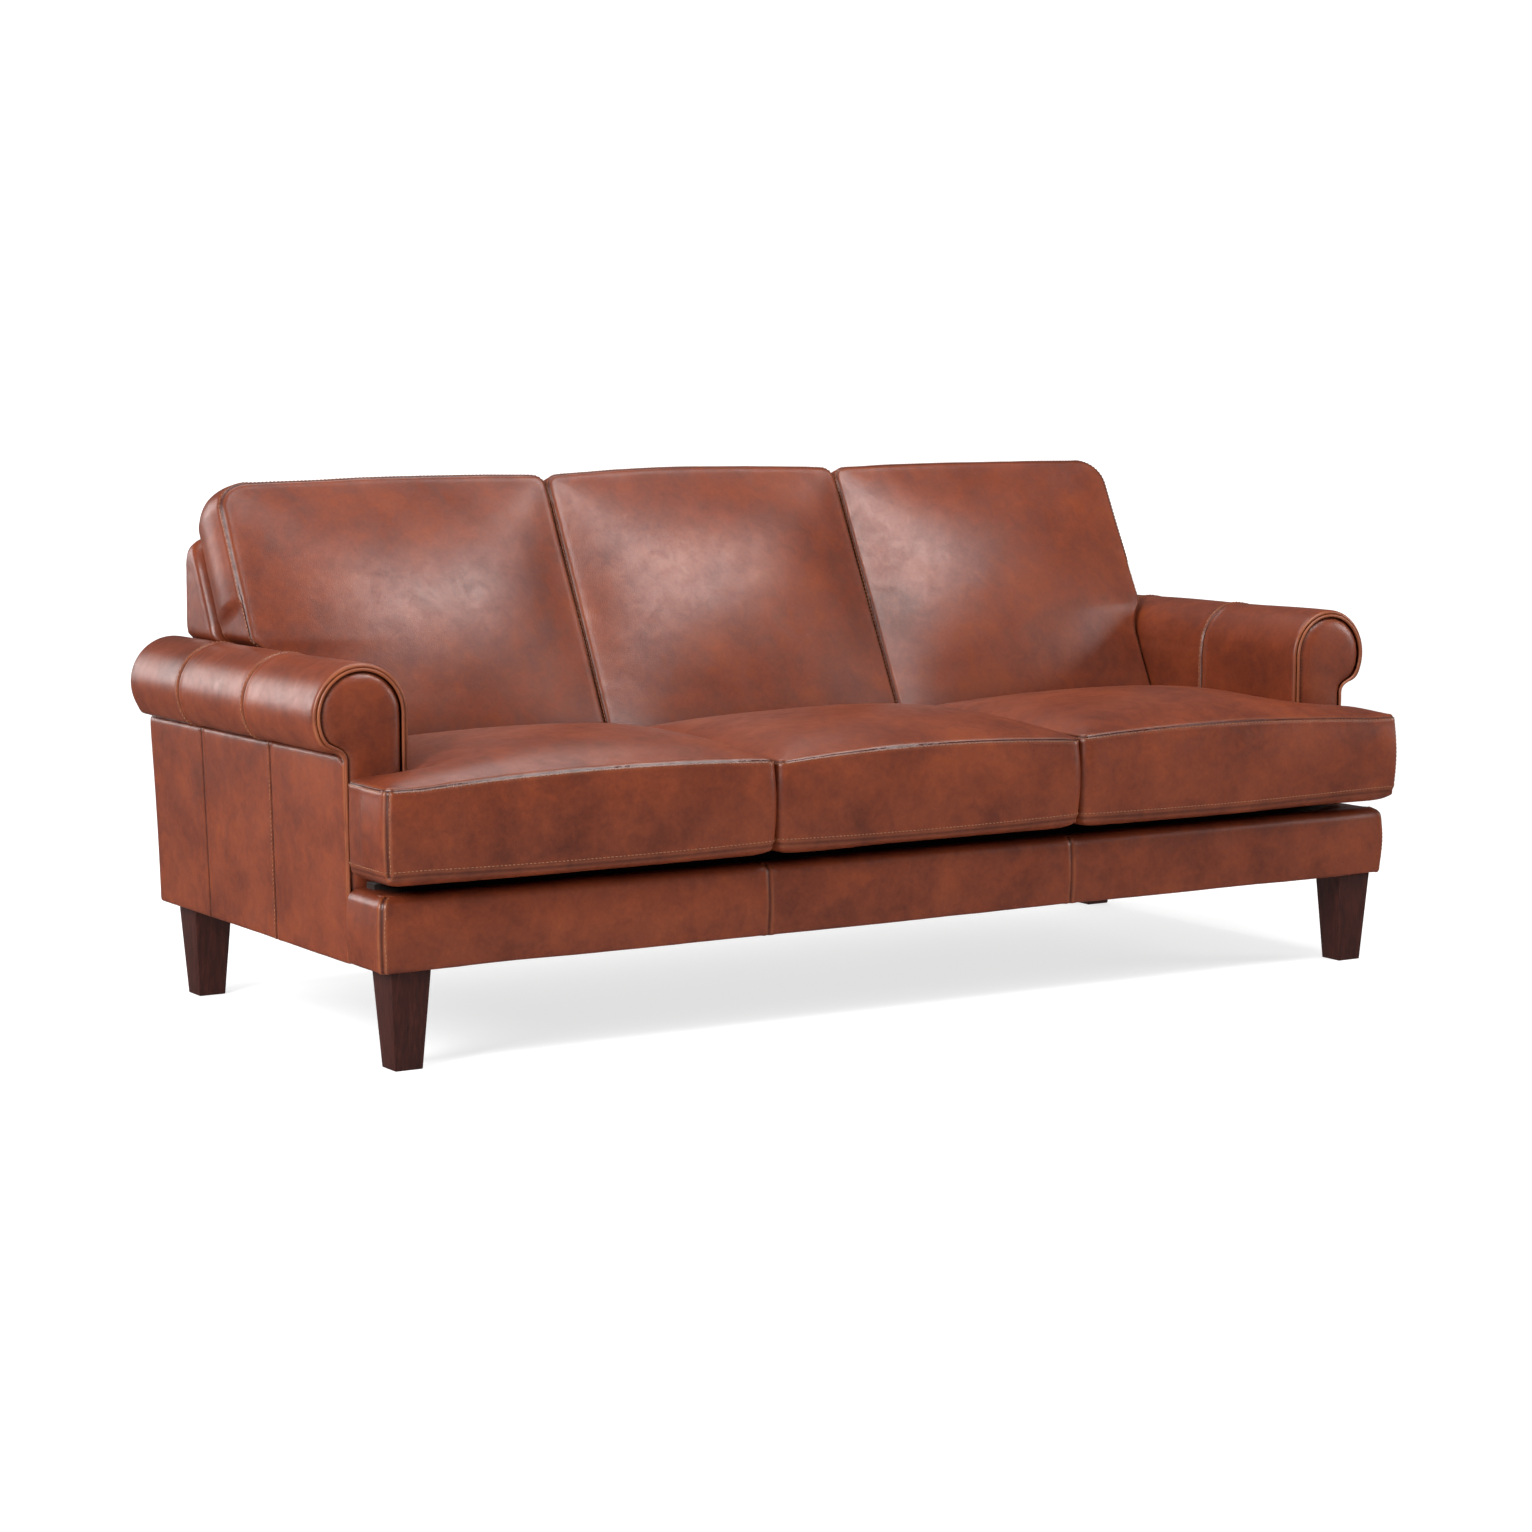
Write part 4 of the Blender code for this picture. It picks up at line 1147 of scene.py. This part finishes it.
def front_rail(seed):
    """The padded rail under the seat: it starts at one arm, turns both front corners and ends at
    the other arm."""
    corner = 0.013
    # Each point of the path holds its place and the way that its skin faces: (x, y, out x, out y).
    path = []
    x0 = BASE_HALF + 0.0030
    y0 = FRONT_Y + 0.001
    # Its ends turn in beside the arms, which leaves a groove there.
    for turn, y in ((0.0070, -0.0010), (0.0030, -0.0012), (0.0008, -0.0030)):
        path.append((-x0 + turn, ARM_FRONT_Y - 0.002 + y, -1.0, 0.0))
    for y in np.arange(ARM_FRONT_Y - 0.008, y0 + corner, -0.010):
        path.append((-x0, y, -1.0, 0.0))
    for k in range(7):
        a = math.radians(90 * k / 6)
        path.append(
            (-x0 + corner - corner * math.cos(a), y0 + corner - corner * math.sin(a),
             -math.cos(a), -math.sin(a))
        )
    straight = x0 - corner - 0.004
    xs = lines_between(-straight, straight, (-SEAT_SPLIT_X, SEAT_SPLIT_X), 0.011)
    path += [(x, y0, 0.0, -1.0) for x in xs]
    path += [(-x, y, -nx, ny) for x, y, nx, ny in reversed(path[: len(path) - len(xs)])]
    # The section from under the rail, up its face and back under the cushions: (out, z).
    section = [(-0.016, RAIL_LOW + 0.002), (-0.006, RAIL_LOW - 0.0004), (-0.0015, RAIL_LOW + 0.001)]
    section.append((0.0, RAIL_LOW + 0.005))
    low = RAIL_LOW + 0.012
    high = RAIL_HIGH - 0.016
    for k in range(9):
        t = k / 8
        section.append((0.0035 * math.sin(math.pi * t), low + (high - low) * t))
    for k in range(1, 9):
        a = math.radians(90 * k / 8)
        section.append((-0.022 + 0.022 * math.cos(a), high + 0.019 * math.sin(a)))
    section += [(-0.040, RAIL_HIGH + 0.0026), (-0.058, RAIL_HIGH + 0.0006)]
    section.append((-0.085, RAIL_HIGH - 0.006))
    points = [(x + nx * d, y + ny * d, z) for x, y, nx, ny in path for d, z in section]
    width = len(section)
    obj = make_mesh("front_rail_cover", points, strip_faces(len(path), width), LEATHER)
    fix_outward(obj, Vector((0, -0.2, 0.22)))
    grid = np.array(points).reshape(len(path), width, 3)
    seams = []
    rows = []
    for x in (-SEAT_SPLIT_X, SEAT_SPLIT_X):
        r = int(np.argmin([abs(p[0] - x) + 9 * (p[3] > -0.99) for p in path]))
        line = [Vector(p) for p in grid[r, 2:19]]
        seams.append(Seam(line, groove=0.0016, ridge=0.0009, pucker=0.0007, wear=0.35, seam_dark_and_shade=0.6))
    for side in (-1, 1):
        bend_x = x0 - 0.0038
        bend_y = y0 + 0.0038
        r = int(np.argmin([abs(side * p[0] - bend_x) + abs(p[1] - bend_y) for p in path]))
        line = [Vector(p) for p in grid[r, 2:20]]
        seams.append(Seam(line, groove=0.0014, ridge=0.0012, pucker=0.0010, reach=0.014, wear=0.5))
        rows.append(([p + Vector((-side * 0.0060, -0.0022, 0)) for p in line[1:]], False))
    subdivide_once(obj)
    dress(obj, seams, seed, sway=0.0014)
    stitches("rail_stitches", rows, obj)
    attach(obj, BODY_FRAME)
    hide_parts("rail_cover_front", "rail_cover_return_left", "rail_cover_return_right")
    return obj


def rounded_ring(half_x, y_front, y_rear, radius, z):
    """A level ring round the back: a long rectangle with rounded corners."""
    ring = []
    radius = min(radius, half_x * 0.9, (y_rear - y_front) * 0.49)
    corners = (
        (half_x, y_rear, 0), (-half_x, y_rear, 90), (-half_x, y_front, 180), (half_x, y_front, 270)
    )
    arcs = []
    for cx, cy, first in corners:
        ox = cx - math.copysign(radius, cx)
        oy = cy - radius if cy == y_rear else cy + radius
        arcs.append(
            [
                (ox + radius * math.cos(math.radians(first + 90 * k / 4)),
                 oy + radius * math.sin(math.radians(first + 90 * k / 4)), z)
                for k in range(5)
            ]
        )
    # The long sides are cut into 110 parts and the ends into 5.
    for number, parts in enumerate((110, 5, 110, 5)):
        last = arcs[number][-1]
        following = arcs[(number + 1) % 4][0]
        ring += arcs[number]
        for k in range(1, parts):
            t = k / parts
            ring.append(tuple(last[i] * (1 - t) + following[i] * t for i in range(3)))
    return ring


def sofa_back(seed):
    """The inner and outer back as one upholstered slab: raked in front, upright behind, and wider
    above the arms."""
    wing_low = ROLL_Z + ROLL_RADIUS - 0.010  # where it is wide, above the arms
    ledge = 0.626  # where it starts to widen
    foot_top = 0.270  # below this it spans the arms' foot
    rear_y = REAR_Y - 0.001
    levels = list(np.arange(RAIL_LOW - 0.002, ledge - 0.004, 0.014)) + [ledge, wing_low]
    levels += list(np.arange(wing_low + 0.012, BACK_TOP - 0.040, 0.012))
    rings = []
    narrow = ARM_INNER_X - 0.0008

    def widen(ring, wide):
        """Only the ends of a ring move out, so the panel seams stay on straight columns."""
        share = [min(1.0, max(0.0, (abs(x) - 0.88) / (narrow - 0.88))) for x, _, _ in ring]
        return [
            (x + math.copysign((wide - narrow) * t, x), y, z) for (x, y, z), t in zip(ring, share)
        ]

    for z in levels:
        wide = BACK_HALF if z > wing_low - 0.003 else narrow
        if z < foot_top:
            wide = BASE_HALF - 0.0165
        front = max(back_face_y(z) - 0.0005, 0.166) if z > 0.31 else 0.46
        rings.append(widen(rounded_ring(narrow, front, rear_y, 0.016, z), wide))
    big = 0.034  # the rounding at the top corners
    small = 0.012  # the rounding along the top edges
    for k in range(1, 8):
        a = math.radians(90 * k / 8)
        z = BACK_TOP - big + big * math.sin(a) - 0.001
        pull = small * (1 - math.cos(a))
        ring = rounded_ring(narrow, back_face_y(z) + pull, rear_y - pull, 0.020, z)
        rings.append(widen(ring, BACK_HALF - big * (1 - math.cos(a))))
    ring = rounded_ring(narrow, back_face_y(BACK_TOP) + 0.014, REAR_Y - 0.014, 0.010, BACK_TOP)
    rings.append(widen(ring, BACK_HALF - big))
    count = len(rings[0])
    points = [p for ring in rings for p in ring]
    faces = []
    for r in range(len(rings) - 1):
        for k in range(count):
            j = (k + 1) % count
            faces.append((r * count + k, r * count + j, (r + 1) * count + j, (r + 1) * count + k))
    # The top and the foot are closed by strips from the rear edge to the front one.
    last = (len(rings) - 1) * count
    for k in range(count // 2 - 1):
        faces.append((last + k, last + k + 1, last + count - 2 - k, last + count - 1 - k))
    for k in range(count // 2 - 1):
        faces.append((k + 1, k, count - 1 - k, count - 2 - k))
    # Its ends rest on the arms, whose rolls fall away towards the inside.
    for k, (x, y, z) in enumerate(points):
        if abs(x) > narrow - 0.010 and wing_low - 0.001 < z < wing_low + 0.030:
            out = min(abs(abs(x) - ROLL_X), ROLL_RADIUS - 0.007)
            roll = ROLL_Z - ROLL_SLIMMER + math.sqrt((ROLL_RADIUS - 0.0050) ** 2 - out**2)
            level = ledge + 0.003 + 0.026 * (abs(x) - narrow) / (BACK_HALF - narrow)
            share = 1 - (z - wing_low) / 0.030
            points[k] = (x, y, z + (max(roll, level) - wing_low) * share)
    obj = make_mesh("sofa_back", points, faces, LEATHER)
    seams = []
    rows = []
    for x in (-SEAT_SPLIT_X, SEAT_SPLIT_X):
        line = [Vector((x, rear_y, z)) for z in np.arange(0.17, BACK_TOP - 0.02, 0.01)]
        seams.append(Seam(line, groove=0.0016, ridge=0.0009, pucker=0.0006, wear=0.3))
        rows.append(([p + Vector((0.006, 0, 0)) for p in line], False))
    edge_y = REAR_Y - 0.006
    turn_x = BACK_HALF - 0.039
    top = [Vector((x, edge_y, BACK_TOP - 0.006)) for x in np.arange(-turn_x, turn_x + 0.001, 0.01)]
    down = [
        Vector((turn_x + 0.034 * math.sin(a), edge_y, BACK_TOP - 0.036 + 0.030 * math.cos(a)))
        for a in np.radians((18, 36, 54, 72, 90))
    ]
    down += [Vector((BACK_HALF - 0.005, edge_y, z)) for z in np.arange(0.79, 0.672, -0.01)]
    line = [Vector((-p.x, p.y, p.z)) for p in reversed(down)] + top + down
    seams.append(Seam(line, groove=0.0014, ridge=0.0012, pucker=0.0010, wear=0.6))
    subdivide_once(obj)
    dress(obj, seams, seed, sway=0.0018)
    stitches("back_panel_stitches", rows, obj)
    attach(obj, BODY_FRAME)
    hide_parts("outer_back_cover", "inner_back_cover")
    return obj


def deck_padding(seed):
    """The pad that the seat cushions stand on, covered in platform cloth, with its front edge rolled
    under.
    """
    low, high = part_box("deck_pad")
    plan = (low[0] + 0.020, high[0] - 0.020, low[1] + 0.065, high[1] - 0.001)
    cushion = BoxedCushion([plan], low[2], high[2], 0.03)
    flat_top = high[2]
    drop = (high[2] - low[2]) * 0.75

    def even(value):
        return lambda spots: np.full(len(spots), value)

    top_at = even(flat_top - drop)
    flat_side = even(0.0)
    obj = cushion.build(
        "deck_padding", lambda _: 0.014, top_at, even(low[2]), flat_side, even(drop), flat_side, 0.016
    )
    obj.data.materials.clear()
    obj.data.materials.append(CARCASS["deck_cloth"])
    points = points_of(obj.data)
    points[:, 2] += np.where(points[:, 2] > flat_top - 0.004, -0.0006, 0) * (
        1 + smooth_noise(points, 0.09, seed)
    )
    put_points(obj.data, points)
    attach(obj, BODY_FRAME)
    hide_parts("deck_pad")


def tapered_leg(place):
    """One leg with softened edges: 51 mm square at its foot and 74 mm at its top."""
    low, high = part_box(f"leg_{place}")
    centre = ((low[0] + high[0]) / 2, (low[1] + high[1]) / 2)
    work = bmesh.new()
    rings = []
    for z, half in ((0.0, 0.0255), (0.170, 0.0370)):
        rings.append(
            [
                work.verts.new((centre[0] + sx * half, centre[1] + sy * half, z))
                for sx, sy in ((-1, -1), (1, -1), (1, 1), (-1, 1))
            ]
        )
    work.faces.new(rings[0][::-1])
    work.faces.new(rings[1])
    for k in range(4):
        j = (k + 1) % 4
        work.faces.new((rings[0][k], rings[0][j], rings[1][j], rings[1][k]))
    bmesh.ops.bevel(work, geom=list(work.edges), offset=0.0022, segments=3, profile=0.6,
                    affect="EDGES")
    mesh = bpy.data.meshes.new(f"wood_leg_{place}")
    work.to_mesh(mesh)
    work.free()
    mesh.shade_smooth()
    mesh.set_sharp_from_angle(angle=math.radians(50))
    mesh.materials.append(BEECH)
    obj = bpy.data.objects.new(f"wood_leg_{place}", mesh)
    bpy.context.scene.collection.objects.link(obj)
    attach(obj, BODY_FRAME)
    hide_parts(f"leg_{place}")


def finish_carcass():
    """Gives every node that stays its timber, steel, cloth or foam."""
    slots = {s["node"]: s["material_slot"] for s in frame["record"]["subparts"]}
    for name, obj in frame["nodes"].items():
        obj.data.materials.clear()
        obj.data.materials.append(CARCASS[slots[name]])


# ---------------------------------------------------------------- studio


def quarter_bend(start, radius, top):
    """A profile that turns from the floor up a wall: (distance, height) points."""
    turn = [math.radians(a) for a in range(10, 91, 10)]
    bend_points = [(start + radius * math.sin(a), radius - radius * math.cos(a)) for a in turn]
    return bend_points + [(start + radius, top)]


def white_set(name, grey, glow):
    """Matt white paper or cloth that is lit a little from within."""
    material = bpy.data.materials.new(name)
    material.use_nodes = True
    shader = material.node_tree.nodes["Principled BSDF"]
    shader.inputs["Base Color"].default_value = (grey, grey, grey, 1)
    shader.inputs["Roughness"].default_value = 0.9
    shader.inputs["Specular IOR Level"].default_value = 0.0
    shader.inputs["Emission Color"].default_value = (1, 1, 1, 1)
    shader.inputs["Emission Strength"].default_value = glow
    return material, shader


def softbox(name, place, target, wide, tall, power):
    light = bpy.data.lights.new(name, "AREA")
    light.shape = "RECTANGLE"
    light.size = wide
    light.size_y = tall
    light.energy = power
    obj = bpy.data.objects.new(name, light)
    bpy.context.scene.collection.objects.link(obj)
    obj.location = place
    aim = Vector(target) - Vector(place)
    obj.rotation_euler = aim.to_track_quat("-Z", "Y").to_euler()


def studio():
    scene = bpy.context.scene
    scene.view_settings.view_transform = "Standard"
    world = bpy.data.worlds.new("studio_air")
    world.use_nodes = True
    sky = world.node_tree.nodes["Background"]
    sky.inputs[0].default_value = (1, 1, 1, 1)
    sky.inputs[1].default_value = 0.12
    scene.world = world

    # A paper sweep: floor, a wide bend and a wall, lit a little from within so that it stays white.
    profile = [(-14.0, 0.0), (6.0, 0.0)] + quarter_bend(6.0, 4.0, 16.0)
    points = [(x, y, z) for y, z in profile for x in (-22.0, 22.0)]
    faces = [(2 * k, 2 * k + 1, 2 * k + 3, 2 * k + 2) for k in range(len(profile) - 1)]
    paper, shader = white_set("white_paper_sweep", 0.46, 1.0)
    # The wall behind glows a little more than the floor, so that no horizon shows.
    tree = paper.node_tree
    place = node(tree, "ShaderNodeTexCoord").outputs["Object"]
    depth = node(tree, "ShaderNodeSeparateXYZ", links={0: place}).outputs["Y"]
    tree.links.new(spread(tree, depth, 2.0, 7.0, 0.71, 1.05), shader.inputs["Emission Strength"])
    floor = make_mesh("paper_sweep", points, faces, paper)
    # The set is flagged off from the leather, so that only the softboxes show in its gloss.
    floor.visible_glossy = False

    # A round cloth wall behind everything else, for views from other sides.
    profile = [(9.0, -0.02)] + quarter_bend(9.0, 4.0, 17.0)
    turns = 72
    angles = [2 * math.pi * k / turns for k in range(turns + 1)]
    points = [(r * math.cos(a), r * math.sin(a), z) for r, z in profile for a in angles]
    cloth, _ = white_set("white_cyclorama", 0.0, 1.02)
    wall = make_mesh("cyclorama", points, strip_faces(len(profile), turns + 1), cloth)
    wall.visible_glossy = False
    wall.visible_diffuse = False
    wall.visible_shadow = False

    softbox("softbox_left", (-4.2, -1.6, 2.4), (-0.6, -0.1, 0.45), 1.6, 2.0, 212)
    softbox("softbox_front", (1.05, -1.75, 3.40), (0.0, 0.3, 0.7), 2.2, 0.9, 100)
    softbox("softbox_top", (-0.3, 0.9, 3.2), (0.0, 0.0, 0.4), 3.0, 1.0, 40)
    softbox("softbox_rear_left", (-2.9, 3.6, 1.5), (-1.1, 0.0, 0.45), 1.8, 1.8, 55)
    softbox("softbox_right", (4.0, -1.9, 1.5), (0.8, -0.3, 0.30), 1.2, 1.2, 45)

    lens = bpy.data.cameras.new("studio_camera")
    lens.lens = 88.5
    lens.sensor_width = 36.0
    lens.clip_end = 60.0
    camera = bpy.data.objects.new("studio_camera", lens)
    scene.collection.objects.link(camera)
    camera.location = (-3.7416, -5.9575, 1.2588)
    camera.rotation_euler = (math.radians(83.036), 0.0, math.radians(-31.759))
    scene.camera = camera


def main():
    studio()
    finish_carcass()
    for number, kind in enumerate(("left", "middle", "right")):
        seat_cushion(kind, 11 + 20 * number)
        back_cushion(kind, 71 + 20 * number)
    rolled_arm("left", 131)
    rolled_arm("right", 151)
    front_rail(171)
    sofa_back(191)
    deck_padding(211)
    for place in ("front_left", "front_right", "rear_left", "rear_right"):
        tapered_leg(place)


main()
bpy.context.view_layer.update()
